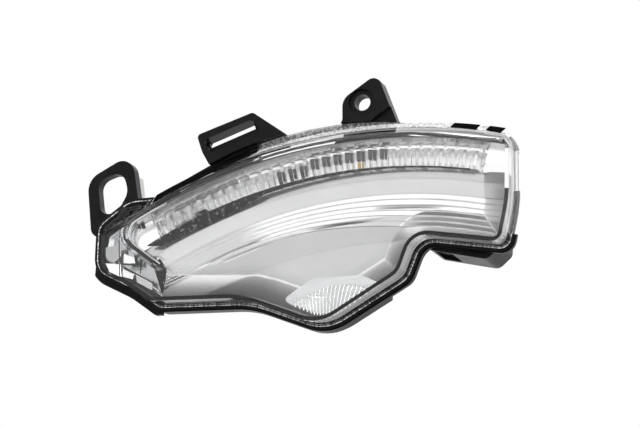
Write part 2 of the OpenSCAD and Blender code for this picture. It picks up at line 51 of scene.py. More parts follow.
# %% [markdown]
# ## The camera
#
# The photograph looks at the lamp a little from the right and a little from below. A long lens
# keeps the far end as large as the near one. The camera is set by the point it looks at, two
# angles and a distance, so each of them can be changed by itself.

# %% Camera
AZIMUTH = math.radians(17.0)
ELEVATION = math.radians(-12.0)
DISTANCE = 1.0
FOCAL_PX = 2500.0
FRAME_PX = 640.0
SENSOR_MM = 36.0
TARGET = Vector((-19.31, 3.66, -43.04)) * MM


def camera_axes(azimuth, elevation):
    """Right, up and backward unit vectors of a camera that looks along +Y at azimuth 0."""
    back = Vector((math.sin(azimuth) * math.cos(elevation),
                   -math.cos(azimuth) * math.cos(elevation),
                   math.sin(elevation)))
    right = Vector((math.cos(azimuth), math.sin(azimuth), 0.0))
    return right, back.cross(right), back


def add_camera():
    """Places the scene's camera at the photograph's viewing angle."""
    data = bpy.data.cameras.new("camera")
    data.sensor_width = SENSOR_MM
    data.lens = FOCAL_PX / FRAME_PX * SENSOR_MM
    camera = bpy.data.objects.new("camera", data)
    right, up, back = camera_axes(AZIMUTH, ELEVATION)
    turn = Matrix((right, up, back)).transposed().to_4x4()
    camera.matrix_world = Matrix.Translation(TARGET + back * DISTANCE) @ turn
    bpy.context.scene.collection.objects.link(camera)
    bpy.context.scene.camera = camera
    return camera


camera = add_camera()
print("camera at", [round(v, 4) for v in camera.matrix_world.translation], "lens", round(camera.data.lens, 1))

# %% [markdown]
# ## Shader maths
#
# Patterns are easier to read as formulas than as a web of nodes. `Socket` wraps the output of a
# node, so that `0.3 + 0.2 * noise` adds its Math nodes by itself, and the formula can be changed
# in one place.


# %% Sockets
class Socket:
    """An output socket on which + and * add Math nodes."""

    def __init__(self, tree, output):
        self.tree = tree
        self.output = output

    def __add__(self, other):
        return self.tree.maths("ADD", self, other)

    __radd__ = __add__

    def __mul__(self, other):
        return self.tree.maths("MULTIPLY", self, other)

    __rmul__ = __mul__


print("a socket knows:", [name for name in vars(Socket) if name.endswith(("add__", "mul__"))])

# %% [markdown]
# ## Node trees
#
# `Tree` holds the nodes of a material or of the surroundings. Its method `node` adds any node with
# its settings and inputs, and the short methods after it add the kinds that are used most. Colours
# go through a Mix node, because a Math node would turn them grey.

# %% Node trees
MIX_SHARE, MIX_FIRST, MIX_SECOND, MIX_COLOUR = 0, 6, 7, 2


class Tree:
    """A node tree, and the few kinds of nodes that this lesson adds to one."""

    def __init__(self, tree):
        self.tree = tree

    def node(self, kind, settings=None, inputs=None, output=0):
        """Adds a node: settings first (a ramp's stops as pairs), then values or links by input."""
        made = self.tree.nodes.new(kind)
        for key, value in (settings or {}).items():
            if key == "stops":
                set_stops(made.color_ramp, value)
            else:
                setattr(made, key, value)
        for key, value in (inputs or {}).items():
            self.put(made.inputs[key], value)
        return Socket(self, made.outputs[output]) if made.outputs else None

    def put(self, socket, value):
        """Links a Socket to an input, or sets a plain value on it."""
        if isinstance(value, Socket):
            self.tree.links.new(value.output, socket)
        else:
            socket.default_value = value

    def maths(self, operation, first, second=0.0):
        """One Math node on one or two values."""
        return self.node("ShaderNodeMath", {"operation": operation}, {0: first, 1: second})

    def noise(self, scale, detail=3.0, roughness=0.5):
        """Soft noise from 0 to 1 over Object coordinates, scale in waves per metre."""
        place = self.node("ShaderNodeTexCoord", output="Object")
        return self.node("ShaderNodeTexNoise", None, {
            "Vector": place, "Scale": scale, "Detail": detail, "Roughness": roughness})

    def ramp(self, value, stops):
        """Colour or grey from a value between 0 and 1."""
        return self.node("ShaderNodeValToRGB", {"stops": stops}, {"Fac": value})

    def blend(self, share, first, second):
        """Colour that goes from the first to the second while the share goes from 0 to 1."""
        return self.node("ShaderNodeMix", {"data_type": "RGBA"},
                         {MIX_SHARE: share, MIX_FIRST: first, MIX_SECOND: second}, output=MIX_COLOUR)


def set_stops(ramp, stops):
    """Gives a colour ramp its stops, each a place and a grey or an RGBA colour."""
    while len(ramp.elements) < len(stops):
        ramp.elements.new(1.0)
    for element, (place, colour) in zip(ramp.elements, stops):
        element.position = place
        element.color = colour if isinstance(colour, tuple) else (colour, colour, colour, 1.0)


print("shader maths for Blender", bpy.app.version_string)

# %% [markdown]
# ## A finish
#
# A finish is one Principled shader with noises that vary its colour, gloss and grain a little, as
# they vary on every moulded part. `Finish` makes the material, sets what is constant, and `drive`
# feeds what varies. `rgba` makes the lighter and darker shades of a colour for the ramps.


# %% The class for a finish
class Finish(Tree):
    """A material with one Principled shader and the nodes that vary it over the surface."""

    def __init__(self, name, **constants):
        self.material = bpy.data.materials.new(name)
        self.material.use_nodes = True
        super().__init__(self.material.node_tree)
        self.shader = self.tree.nodes["Principled BSDF"]
        for label, value in constants.items():
            self.shader.inputs[label.replace("_", " ")].default_value = value

    def drive(self, label, value):
        """Feeds one input of the Principled shader."""
        self.put(self.shader.inputs[label], value)

    def bump(self, height, distance, strength):
        """Feeds the shader's normal with a height in units of the given distance, in metres."""
        self.drive("Normal", self.node("ShaderNodeBump", None, {
            "Height": height, "Distance": distance, "Strength": strength}))

    def done(self):
        """Says what was made and gives back the material."""
        print("finish", self.material.name, "nodes:", len(self.tree.nodes))
        return self.material


def rgba(colour, factor=1.0):
    """A colour (red, green, blue) times a factor, none of them over 1, with an alpha of 1."""
    return tuple(min(1.0, factor * part) for part in colour) + (1.0,)


print("a grey at 1.5 times:", rgba((0.4, 0.4, 0.4), 1.5))

# %% [markdown]
# ## Black plastics
#
# The housing is glass-filled nylon from a mould with a fine spark texture. A picture of such a skin
# would stretch over a part with walls on all sides, so a noise in space colours it and a finer one
# feeds the bump. The trims on the lens are duller and hardly shine at all.


# %% Black plastics
def black_plastic(name, colour, rough, gloss=0.1):
    """Moulded black: faint mottling in colour and gloss, and a fine spark texture."""
    f = Finish(name, Base_Color=rgba(colour), Roughness=rough, Specular_IOR_Level=gloss)
    mottle = f.noise(220.0, 3.0)
    grain = f.noise(2600.0, 2.0, 0.6)
    f.drive("Base Color", f.ramp(mottle, [(0.3, rgba(colour, 0.75)), (0.7, rgba(colour, 1.3))]))
    f.drive("Roughness", rough - 0.06 + 0.14 * mottle)
    f.bump(grain, 0.00004, 0.5)
    return f.done()


black_shell = black_plastic("black_shell", (0.006, 0.006, 0.0064), 0.3)
black_trim = black_plastic("black_trim", (0.006, 0.006, 0.0065), 0.38)
dull_black = black_plastic("dull_black", (0.004, 0.004, 0.0043), 0.6, gloss=0.0)

# %% [markdown]
# ## Black with painted glints, and the pale tab
#
# The strip under the light bar is black with sparse painted glints: pale specks in its colour, where a ramp
# with two close stops keeps only the peaks of a noise. The tab behind the loop is milky nylon. Light enters
# it a little way and comes out again, which the shader's Subsurface inputs give.


# %% Black with painted glints, and pale plastic
def black_with_painted_glints():
    """Black of the strip with painted glints: pale where a fine noise is over 0.6."""
    f = Finish("painted_glint_black", Base_Color=rgba((0.006,) * 3), Roughness=0.5, Specular_IOR_Level=0.0)
    painted_glint = f.noise(1100.0, 2.0, 0.6)
    # Painted glints: pale specks in the colour where the noise peaks.
    f.drive("Base Color", f.ramp(painted_glint, [(0.6, 0.006), (0.68, 0.35)]))
    f.drive("Roughness", 0.4 + 0.2 * painted_glint)
    return f.done()


def pale_plastic():
    """Milky nylon of the locating tab: slightly see-through and waxy."""
    f = Finish("pale_tab", Base_Color=(0.74, 0.76, 0.74, 1.0), Roughness=0.45,
               Subsurface_Weight=0.35, Subsurface_Scale=0.004)
    cloud = f.noise(240.0)
    f.drive("Base Color", f.ramp(cloud, [(0.2, (0.68, 0.7, 0.68, 1.0)), (0.8, (0.8, 0.82, 0.8, 1.0))]))
    f.drive("Roughness", 0.38 + 0.16 * cloud)
    return f.done()


painted_glint_black = black_with_painted_glints()
pale_tab = pale_plastic()

# %% [markdown]
# ## Satin reflector
#
# The reflector is lacquered and metallised to a satin grey, so it shows the white studio softly.
# A high Metallic with some roughness gives that. Its cove and creases also get painted shade: a point
# attribute darkens the colour there, more than these surroundings make them.


# %% Satin reflector
def satin_metal():
    """Metallised lacquer: pale grey with a faint orange peel, and darker with painted shade where a point
    attribute says so.
    """
    f = Finish("satin_reflector", Base_Color=(0.81, 0.8, 0.8, 1.0), Roughness=0.2, Metallic=0.85)
    cloud = f.noise(60.0, 2.0)
    peel = f.noise(900.0, 2.0)
    f.drive("Roughness", 0.16 + 0.06 * cloud)
    pale = f.ramp(cloud, [(0.25, (0.8, 0.79, 0.79, 1.0)), (0.75, (0.85, 0.84, 0.84, 1.0))])
    # Painted shade: a point attribute blends the colour towards dark grey in the cove and the creases.
    shade = f.node("ShaderNodeAttribute", {"attribute_name": "shade"}, output="Fac")
    f.drive("Base Color", f.blend(shade, pale, (0.1, 0.095, 0.1, 1.0)))
    f.bump(peel, 0.00002, 0.4)
    return f.done()


satin_reflector = satin_metal()

# %% [markdown]
# ## Clear acrylic
#
# The outer lens and the block are polished acrylic: the Transmission Weight lets rays through, and
# the index of 1.49 bends them. The prisms bend them less here, so that the shades behind them stay
# readable. The fluted lens looks milky, so only part of its light goes through.


# %% Clear and frosted acrylic
def clear_acrylic(name, rough, haze):
    """Acrylic that refracts, with a faint unevenness of its polish."""
    f = Finish(name, Base_Color=(0.97, 0.98, 0.985, 1.0), Roughness=rough, IOR=1.49, Transmission_Weight=1.0)
    cloud = f.noise(90.0, 2.0)
    f.drive("Roughness", rough + haze * cloud)
    f.drive("Base Color", f.ramp(cloud, [(0.2, (0.95, 0.96, 0.965, 1.0)), (0.8, (0.99, 0.995, 1.0, 1.0))]))
    return f.done()


def frosted(name, colour, rough, through, haze=0.05, index=1.49, metal=0.0):
    """Acrylic of which a part of the light goes through, and the rest scatters or mirrors."""
    f = Finish(name, Base_Color=rgba(colour), Roughness=rough, IOR=index, Metallic=metal,
               Transmission_Weight=through)
    cloud = f.noise(160.0, 2.0)
    f.drive("Base Color", f.ramp(cloud, [(0.2, rgba(colour, 0.95)), (0.8, rgba(colour))]))
    f.drive("Roughness", rough + haze * cloud)
    return f.done()


clear_lens = clear_acrylic("clear_lens", 0.0, 0.02)
clear_guide = clear_acrylic("clear_guide", 0.01, 0.04)
prism_clear = frosted("prism_clear", (1.0, 1.0, 1.0), 0.0, 0.97, haze=0.02, index=1.22)
fluted_clear = frosted("fluted_clear", (0.97, 0.97, 0.97), 0.06, 0.4, metal=0.7)

# %% [markdown]
# ## Weld seams
#
# Where two plastics are welded, a line of molten beads and air stays between them. Its spots are
# far too small to model, so one noise gives their colour, their gloss and their height.


# %% Weld seams
def seam(name, low, high):
    """Speckle of a weld: blown and glossy spots of molten plastic, from a low to a high grey."""
    f = Finish(name, Base_Color=rgba((high,) * 3), Roughness=0.35, IOR=1.49)
    speck = f.noise(1500.0, 2.0, 0.6)
    f.drive("Base Color", f.ramp(speck, [(0.42, low), (0.5, 0.5 * (low + high)), (0.6, high)]))
    f.drive("Roughness", 0.2 + 0.4 * speck)
    f.bump(speck, 0.0002, 0.8)
    return f.done()


pale_seam = seam("pale_seam", 0.1, 0.9)
dark_seam = seam("dark_seam", 0.003, 0.07)

# %% [markdown]
# ## Parts of the boards
#
# The boards, their parts and the contacts are plain: each has its colour and a faint speckle. They
# sit behind the reflector, so one function with a colour, a gloss and a metal share does for all.


# %% Parts of the boards
def speckled(name, colour, rough, metal=0.0, spread=0.2):
    """A plain part with a faint speckle in its colour and gloss."""
    f = Finish(name, Base_Color=rgba(colour), Roughness=rough, Metallic=metal)
    speck = f.noise(700.0, 3.0)
    f.drive("Base Color", f.ramp(speck, [(0.3, rgba(colour, 1 - spread)), (0.7, rgba(colour, 1 + spread))]))
    f.drive("Roughness", rough - 0.05 + 0.12 * speck)
    return f.done()


board_green = speckled("board", (0.05, 0.2, 0.1), 0.35)
led_amber = speckled("led_amber", (0.85, 0.62, 0.2), 0.25, spread=0.08)
led_white = speckled("led_white", (0.9, 0.86, 0.6), 0.25, spread=0.06)
tan_ceramic = speckled("capacitor_body", (0.42, 0.3, 0.17), 0.5)
zinc_steel = speckled("steel", (0.6, 0.6, 0.62), 0.3, metal=1.0)
pale_film = speckled("jumper_film", (0.72, 0.7, 0.62), 0.4)
tinned_brass = speckled("contact", (0.74, 0.6, 0.32), 0.25, metal=1.0)
felt_film = speckled("membrane", (0.8, 0.8, 0.79), 0.8)
gate_grey = speckled("gate_grey", (0.2, 0.2, 0.21), 0.4)

# %% [markdown]
# ## Finishes on the CAD nodes
#
# Every node of the CAD model gets its finish by name, so that a node without one stops the script.

# %% Finishes on the CAD nodes
FINISHES = {
    "housing": black_shell, "outer_lens": clear_lens, "reflector": satin_reflector,
    "light_guide": clear_guide, "guide_carrier": black_trim, "side_optic": clear_guide,
    "puddle_lens": clear_guide, "signal_board": board_green, "driver_chip": black_trim,
    "resistors": black_trim, "capacitor": tan_ceramic, "puddle_board": board_green,
    "puddle_led": led_white, "board_screws": zinc_steel, "flat_jumper": pale_film,
    "vent_membrane": felt_film, "locating_tab": pale_tab,
    **{f"signal_led_{i}": led_amber for i in range(1, 7)},
    **{f"terminal_{i}": tinned_brass for i in range(1, 5)},
}
for name in nodes:
    data = nodes[name].data
    data.materials.clear()
    data.materials.append(FINISHES[name])
print("finishes on", len(FINISHES), "of", len(nodes), "nodes")

# %% [markdown]
# ## Shapes from curves
#
# Most new pieces start from one of two curves of the CAD model: the filleted outline of the lens
# flange, or the long arc of the light bar. Both could be drawn by hand as Blender curves, but numbers
# keep them exactly on the model. `grow` moves the outline's corners outwards, `fillet_path` rounds
# them, and `first_hit` finds where a ray from a centre meets a path.

# %% Sizes of the model, in millimetres
ARC = np.array([10.6, -230.1])
LENS_TOP = 220.2
BAR_IN, BAR_OUT = 201.4, 210.4
BAR_MID = (BAR_IN + BAR_OUT) / 2
BAR_RIGHT, BAR_LEFT = -39.1, 98.8
BLOCKS = 29
BAR_FRONT, BAR_SEAT = -8.7, -1.5
FLOOR_Y = 2.0
OUTLINE = np.array([
    [-113.2, -62.6, 9], [-96.3, -71.2, 30], [-85, -79.5, 6], [-46.5, -80.1, 40], [-14.8, -92.4, 18],
    [18.8, -73.1, 9.5], [24.6, -58.5, 7], [59.4, -63.9, 5], [63.4, -45, 60], [63.4, -17.9, 8],
    [-22.8, -2.2, 142], [-87, -33.6, 8], [-99, -33.9, 10], [-112.5, -43.4, 7]])
BAR_SIDE = np.array([[-94.0, -30.0], [-94.0, -53.8], [-82.3, -63.1], [-82.3, -110.0]])
print("outline corners:", len(OUTLINE), "bar blocks:", BLOCKS)


# %% Outline with rounded corners
def unit(rows):
    """Rows divided by their lengths."""
    return rows / np.linalg.norm(rows, axis=-1, keepdims=True)


def direction(angle):
    """Unit vectors (cos, sin) at angles."""
    return np.stack([np.cos(angle), np.sin(angle)], -1)


def grow(corners, t):
    """Corners (x, z, fillet) of a counter-clockwise outline moved outwards by t: corner plus
    t (a + b) / (1 + a.b) for the outward normals a and b of its edges, and the fillet changes by t."""
    place, radius = corners[:, :2], corners[:, 2]
    after = unit(np.roll(place, -1, 0) - place)
    before = np.roll(after, 1, 0)
    a = np.stack([after[:, 1], -after[:, 0]], 1)
    b = np.stack([before[:, 1], -before[:, 0]], 1)
    slide = (a + b) / (1 + (a * b).sum(1, keepdims=True))
    turn = np.sign(before[:, 0] * after[:, 1] - before[:, 1] * after[:, 0])
    return np.column_stack([place + t * slide, np.maximum(radius + t * turn, 0.3)])


def fillet_path(corners, steps=12):
    """Closed path with an arc at each corner that touches both of its edges."""
    place, radius = corners[:, :2], corners[:, 2:]
    u = unit(np.roll(place, 1, 0) - place)
    v = unit(np.roll(place, -1, 0) - place)
    half = np.arccos(np.clip((u * v).sum(1, keepdims=True), -1, 1)) / 2
    middle = place + unit(u + v) * radius / np.sin(half)
    first = place + u * radius / np.tan(half) - middle
    last = place + v * radius / np.tan(half) - middle
    start = np.arctan2(first[:, 1], first[:, 0])
    sweep = (np.arctan2(last[:, 1], last[:, 0]) - start + np.pi) % (2 * np.pi) - np.pi
    angle = start[:, None] + sweep[:, None] * np.linspace(0, 1, steps)
    return (middle[:, None] + radius[:, None] * direction(angle)).reshape(-1, 2)


print("flange is", np.round(np.ptp(fillet_path(OUTLINE), axis=0), 1).tolist(), "mm long and high")


# %% Places on a path
def even(path, count, closed=True):
    """The path with evenly spaced points."""
    loop = np.vstack([path, path[:1]]) if closed else path
    run = np.append(0, np.cumsum(np.linalg.norm(np.diff(loop, axis=0), axis=1)))
    at = np.linspace(0, run[-1], count, endpoint=not closed)
    return np.stack([np.interp(at, run, loop[:, 0]), np.interp(at, run, loop[:, 1])], 1)


def stretch(path, chosen):
    """The one connected part of a closed path for which chosen is true."""
    start = np.argmax(chosen & ~np.roll(chosen, 1))
    turned, kept = np.roll(path, -start, 0), np.roll(chosen, -start)
    return turned[kept]


flange_steps = np.linalg.norm(np.diff(even(fillet_path(OUTLINE), 900), axis=0), axis=1)
print("way round the flange:", round(float(flange_steps.sum())), "mm")


# %% Circles and rays
def under_arc(path, radius):
    """The path with all that lies outside a circle about the arc's centre drawn in to it."""
    away = path - ARC
    far = np.linalg.norm(away, axis=1, keepdims=True)
    return ARC + away * np.minimum(1, radius / far)


def first_hit(centre, angle, path):
    """Distance from a centre to a closed path, at each angle: the nearest crossing of ray and edges."""
    ray = direction(angle)[:, None]
    start, edge = path - centre, np.roll(path, -1, 0) - path
    cross = ray[..., 0] * edge[:, 1] - ray[..., 1] * edge[:, 0]
    cross = np.where(np.abs(cross) < 1e-9, 1e-9, cross)
    far = (start[:, 0] * edge[:, 1] - start[:, 1] * edge[:, 0]) / cross
    part = (start[:, 0] * ray[..., 1] - start[:, 1] * ray[..., 0]) / cross
    return np.where((far > 0) & (part >= 0) & (part <= 1), far, np.inf).min(1)


def inset_path(t, count=900):
    """Outline of the lens flange drawn in by t, and kept under the lens's arc."""
    return even(under_arc(fillet_path(grow(OUTLINE, -t)), LENS_TOP + 1 - t), count)


def polar(radius, angle):
    """Points (x, z) at radii and angles about the arc's centre."""
    return ARC + np.asarray(radius)[..., None] * direction(angle)


def about_arc(flat):
    """Radius and angle of points (x, z) about the arc's centre."""
    away = flat - ARC
    return np.linalg.norm(away, axis=-1), np.arctan2(away[..., 1], away[..., 0])


print("lens top is", round(float(polar(LENS_TOP, np.pi / 2)[1]), 1), "mm above the screw ear's axis")

# %% [markdown]
# ## Meshes from grids
#
# A surface is a grid of points. `quads` joins its neighbours, `plate` closes the room between a front
# and a back grid, and `bar` carries a closed section along a path. Doubled points are merged, which
# also closes poles and rows that shrink to a point, and the normals are turned outwards.


# %% Grids
def quads(n, m, wrap_n=False, wrap_m=False):
    """Corner numbers of the quads between neighbours of an n by m grid."""
    index = np.arange(n * m).reshape(n, m)
    index = np.vstack([index, index[:1]]) if wrap_n else index
    index = np.hstack([index, index[:, :1]]) if wrap_m else index
    return np.stack([index[:-1, :-1], index[1:, :-1], index[1:, 1:], index[:-1, 1:]], -1).reshape(-1, 4)


def capped(n, m):
    """Quads round n rings of m points each, and one face on the first and on the last ring."""
    return quads(n, m, wrap_m=True).tolist() + [list(range(m)), list(range((n - 1) * m, n * m))]


def plate(front, back):
    """Closed solid between two grids: both of them, and a strip round their edges."""
    n, m = front.shape[:2]
    index = np.arange(n * m).reshape(n, m)
    rim = np.concatenate([index[0, :-1], index[:-1, -1], index[-1, :0:-1], index[:0:-1, 0]])
    ahead = np.roll(rim, -1)
    side = np.stack([rim, ahead, ahead + n * m, rim + n * m], 1)
    faces = np.vstack([quads(n, m), quads(n, m)[:, ::-1] + n * m, side])
    return np.vstack([front.reshape(-1, 3), back.reshape(-1, 3)]), faces.tolist()


def domed(grid):
    """Closed solid of a grid whose rows go round, and whose first and last rows are points."""
    return grid.reshape(-1, 3), quads(*grid.shape[:2], wrap_m=True).tolist()


def joined(parts):
    """One list of points and faces from several."""
    points, faces, start = [], [], 0
    for part_points, part_faces in parts:
        points.append(part_points)
        faces += [[corner + start for corner in face] for face in part_faces]
        start += len(part_points)
    return np.vstack(points), faces


print("a ring of 4 points, 3 times:", len(capped(3, 4)), "faces")


# %% Sections along a path
def lift(flat, y):
    """Points (x, z) with a depth y made points (x, y, z)."""
    return np.stack([flat[..., 0], np.broadcast_to(y, flat.shape[:-1]), flat[..., 1]], -1)


def outward(path, closed=True):
    """Unit normals to the right of the way along a path, outwards on a counter-clockwise one."""
    along = unit(np.roll(path, -1, 0) - np.roll(path, 1, 0) if closed else np.gradient(path, axis=0))
    return np.stack([along[:, 1], -along[:, 0]], 1)


def bar(path, section, closed=True):
    """Closed section of (outwards, y) carried along a path: point = path + outwards * normal."""
    flat = path[:, None] + outward(path, closed)[:, None] * section[None, :, :1]
    n, m = flat.shape[:2]
    faces = quads(n, m, wrap_n=True, wrap_m=True).tolist() if closed else capped(n, m)
    return lift(flat, section[:, 1]).reshape(-1, 3), faces


def oval(half_w, half_h, at=(0.0, 0.0), power=2.0, count=16):
    """Closed section |x / a|^p + |y / b|^p = 1 about a point."""
    c, s = direction(np.linspace(0, 2 * np.pi, count, endpoint=False)).T
    return np.stack([at[0] + half_w * np.sign(c) * np.abs(c) ** (2 / power),
                     at[1] + half_h * np.sign(s) * np.abs(s) ** (2 / power)], 1)


def block(path, levels):
    """Closed solid of rings: each ring is the path drawn in by a distance, at a depth."""
    rings = np.stack([lift(path - outward(path) * inset, y) for inset, y in levels])
    return rings.reshape(-1, 3), capped(*rings.shape[:2])


print("points of an oval section:", len(oval(1.0, 2.0)))

# %% [markdown]
# ## Adding a piece
#
# A piece is a mesh in place at the origin. It rides on the body of the housing, takes the finish that it is
# given, and can take the place of a CAD node in the picture.

# %% Pieces
MERGE_M = 2e-6


def add_piece(name, shape, material, replaced=None, sharp=40.0):
    """Makes a closed piece from points in mm and faces, with smooth faces and sharp edges past an angle."""
    points, faces = shape
    mesh = bpy.data.meshes.new(name)
    mesh.from_pydata((np.asarray(points) * MM).tolist(), [], faces)
    work = bmesh.new()
    work.from_mesh(mesh)
    bmesh.ops.remove_doubles(work, verts=work.verts, dist=MERGE_M)
    bmesh.ops.recalc_face_normals(work, faces=work.faces)
    work.to_mesh(mesh)
    work.free()
    mesh.polygons.foreach_set("use_smooth", np.ones(len(mesh.polygons), bool))
    mesh.set_sharp_from_angle(angle=math.radians(sharp))
    mesh.materials.append(material)
    piece = bpy.data.objects.new(name, mesh)
    bpy.context.scene.collection.objects.link(piece)
    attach(piece, "root")
    if replaced:
        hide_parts(replaced)
    print(name, "faces:", len(mesh.polygons))
    return piece


def smooth(x, low, high):
    """0 below low, 1 above high, and 3t^2 - 2t^3 between them."""
    t = np.clip((x - low) / (high - low), 0, 1)
    return t * t * (3 - 2 * t)


print("points closer than", MERGE_M / MM, "mm become one")

# %% [markdown]
# ## The reflector
#
# The satin reflector is the biggest thing seen through the lens. From the top it has a lip and the
# bar's channel, then a band that slopes under the bar, a field of saw-toothed ribs, and a smooth
# floor that rises in a cove to its edge. Blocks and bevels can't give the teeth and the cove, so the
# whole moulding is made again from one depth formula. Its rows are arcs about the arc's centre, and
# each highlight runs along the whole lamp, as in the photograph.

# %% Sides of the reflector
EDGE = 4.1
edge_path = inset_path(EDGE)
left_radius, left_angle = about_arc(even(BAR_SIDE, 400, False))
right_edge = edge_path[(edge_path[:, 0] > 50) & (outward(edge_path)[:, 0] > 0.9)]
right_radius, right_angle = about_arc(right_edge)
rising = np.argsort(right_radius)


def side_angles(radius):
    """Angles at which a circle about the arc's centre meets the left and the right side."""
    left = np.interp(radius, left_radius[::-1], left_angle[::-1])
    return left, np.interp(radius, right_radius[rising], right_angle[rising])


def edge_distance(flat, path):
    """Distance from points to the nearest edge of a closed path."""
    start, edge = path, np.roll(path, -1, 0) - path
    away = flat.reshape(-1, 1, 2) - start
    part = np.clip((away * edge).sum(-1) / (edge * edge).sum(-1), 0, 1)[..., None]
    return np.linalg.norm(away - part * edge, axis=-1).min(1).reshape(flat.shape[:-1])


print("sides at the bar, in degrees:", [round(math.degrees(a), 1) for a in side_angles(BAR_IN)])

# %% [markdown]
# ## Ribs and creases
#
# The ribs are a saw over the radius: each rises slowly and falls back in a short step. They taper
# off towards the outboard end. Fine creases part them from the floor. Both are functions of radius
# and angle, so any row of points can use them.

# %% Depth of the reflector's face
BAND_END = 191.8
FALL_R = [173.0, 183.0, BAND_END, 197.4]
FALL_Y = [FLOOR_Y - 0.15, -0.75, -1.95, -4.15]
RIBS, RIB_H, RISER = 6, 0.5, 0.15
RIB_START = BAND_END - 0.4
RIB_FADE, FADE_FROM, FADE_TO = 0.6, 98, 112
FOOT_DEG = [74.0, 87.0, 101.0, 110.0, 121.0]
FOOT_R = [178.0, 178.2, 181.6, 182.4, 184.8]
COVE_R, COVE_H = 9.5, 5.2
CREASE_HALF, CREASE_H = 0.7, 0.5
# A crease has its first and last angle, its radius at the last and at the first one, and a strength.
CREASES = [(90.0, 101.5, 182.4, 181.8, 1.0), (104.8, 116.4, 184.8, 184.6, 0.8),
           (104.8, 114.6, 182.4, 181.9, 0.7), (82.0, 93.0, 186.6, 186.5, 0.5)]


def creases(radius, angle):
    """Share from 0 to 1 of the fine creases between ribs and floor, strongest in their middle."""
    total = 0.0
    for first, last, high, low, deep in CREASES:
        share = (np.degrees(angle) - first) / (last - first)
        fade = smooth(share, 0, 0.4) * smooth(1 - share, 0, 0.4)
        off = np.abs(radius - low - (high - low) * share)
        total = total + deep * fade * np.clip(1 - off / CREASE_HALF, 0, 1)
    return total


def face_depth(flat):
    """Depth of the face under the bar: level land, sloping band, a gentle fall with saw-toothed
    ribs on it, then the floor with a few creases, and near the edge a cove 0.7 n + 0.3 n^2."""
    radius, angle = about_arc(flat)
    y = np.interp(radius, FALL_R, FALL_Y)
    foot = np.interp(np.degrees(angle), FOOT_DEG, FOOT_R)
    phase = (RIB_START - radius) / (RIB_START - foot)
    step = RIBS * phase % 1
    saw = np.minimum(step / (1 - RISER), (1 - step) / RISER) * RIB_H
    saw = saw * (1 - RIB_FADE * smooth(np.degrees(angle), FADE_FROM, FADE_TO))
    y = y - np.where((phase > 0) & (phase < 1), saw, 0)
    y = y + CREASE_H * creases(radius, angle)
    near = np.clip(1 - edge_distance(flat, edge_path) / COVE_R, 0, 1)
    return y - COVE_H * (0.7 * near + 0.3 * near ** 2)


print("depth in the middle of the band:", round(float(face_depth(polar(194.0, [np.pi / 2]))[0]), 2))

# %% [markdown]
# ## Painted shade on the lacquer
#
# The face gets painted shade towards its lower edge and in the creases. This painted shade comes from the
# same distances as the shape, so it is worked out per point and written on the mesh as an attribute.

# %% Painted shade on the lacquer
# Reach, strength and place of the painted shade on the lacquer.
PAINTED_SHADE_R, PAINTED_SHADE_POWER = 15.0, 1.3
EDGE_PAINTED_SHADE, CREASE_PAINTED_SHADE, MOST_PAINTED_SHADE = 0.75, 0.9, 0.9
PAINTED_SHADE_FROM, PAINTED_SHADE_TO = 50, 66


def painted_lacquer_shade(flat):
    """Painted shade on the lacquer: it grows towards the cove's edge and in the creases."""
    near = np.clip(1 - edge_distance(flat, edge_path) / PAINTED_SHADE_R, 0, 1)
    low = smooth(-flat[..., 1], PAINTED_SHADE_FROM, PAINTED_SHADE_TO)
    dark = EDGE_PAINTED_SHADE * near ** PAINTED_SHADE_POWER * low + CREASE_PAINTED_SHADE * creases(*about_arc(flat))
    return np.clip(dark, 0, MOST_PAINTED_SHADE)


def apply_painted_shade(piece):
    """Writes the painted shade of the lacquer on a piece's points, as a point attribute."""
    points = np.empty(len(piece.data.vertices) * 3)
    piece.data.vertices.foreach_get("co", points)
    flat = points.reshape(-1, 3)[:, [0, 2]] / MM
    rows = [painted_lacquer_shade(part) for part in np.array_split(flat, 40)]
    layer = piece.data.attributes.new("shade", "FLOAT", "POINT")
    layer.data.foreach_set("value", np.concatenate(rows))
    print(piece.name, "darkest", round(float(max(row.max() for row in rows)), 2))


# The painted shade reaches this far in from the edge.
print("smoke reaches", PAINTED_SHADE_R, "mm in from the edge")

# %% [markdown]
# ## Channel, band and ribs
#
# The upper half of the reflector is one sheet. Its first rows follow the channel's lip, wall and
# seat, which lies deeper behind the bar than beside it; the other rows take the depth formula.
# The same rows a wall's thickness behind close it to a solid.

# %% Channel, band and ribs
SPLIT_R = 182.0
WALL, WALL_RISE = 1.1, 0.6
CHANNEL_R = np.array([213.6, 213.0, 212.4, 211.8, 211.6, 210.6, 209.6,
                      208.4, 207.2, 206.0, 204.8, 203.6, 202.4, 201.3])[:, None]
BAR_DEPTH = np.array([-5.3, -4.2, -3.0, -1.9, -0.3, -0.46, -0.62,
                      -0.8, -1.0, -1.2, -1.38, -1.57, -1.76, -1.95])[:, None]
END_DEPTH = np.array([-5.3, -4.2, -3.0, -1.9, -1.62, -1.84, -2.06,
                      -2.33, -2.6, -2.86, -3.12, -3.4, -3.65, -3.9])[:, None]
SEAT_R, OUTBOARD_X = 211.7, -60
SLOPE_Y, SLOPE, SLOPE_Z = -1.7, 0.2, -38.0
BAR_PLAY = 0.5
FINE_ROWS, RIB_ROWS = np.linspace(201.2, 192.2, 20), np.linspace(192.0, SPLIT_R, 101)
across = np.linspace(0, 1, 300)


def bar_angle(s):
    """Angle about the arc's centre for a length s along the bar, outboard from its top."""
    return math.pi / 2 + s / BAR_MID


def sheet_points(rows):
    """Angles and points of rows at given radii, from the left side to the right one."""
    left, right = side_angles(rows)
    angle = left + (right - left) * across
    return angle, polar(rows, angle)


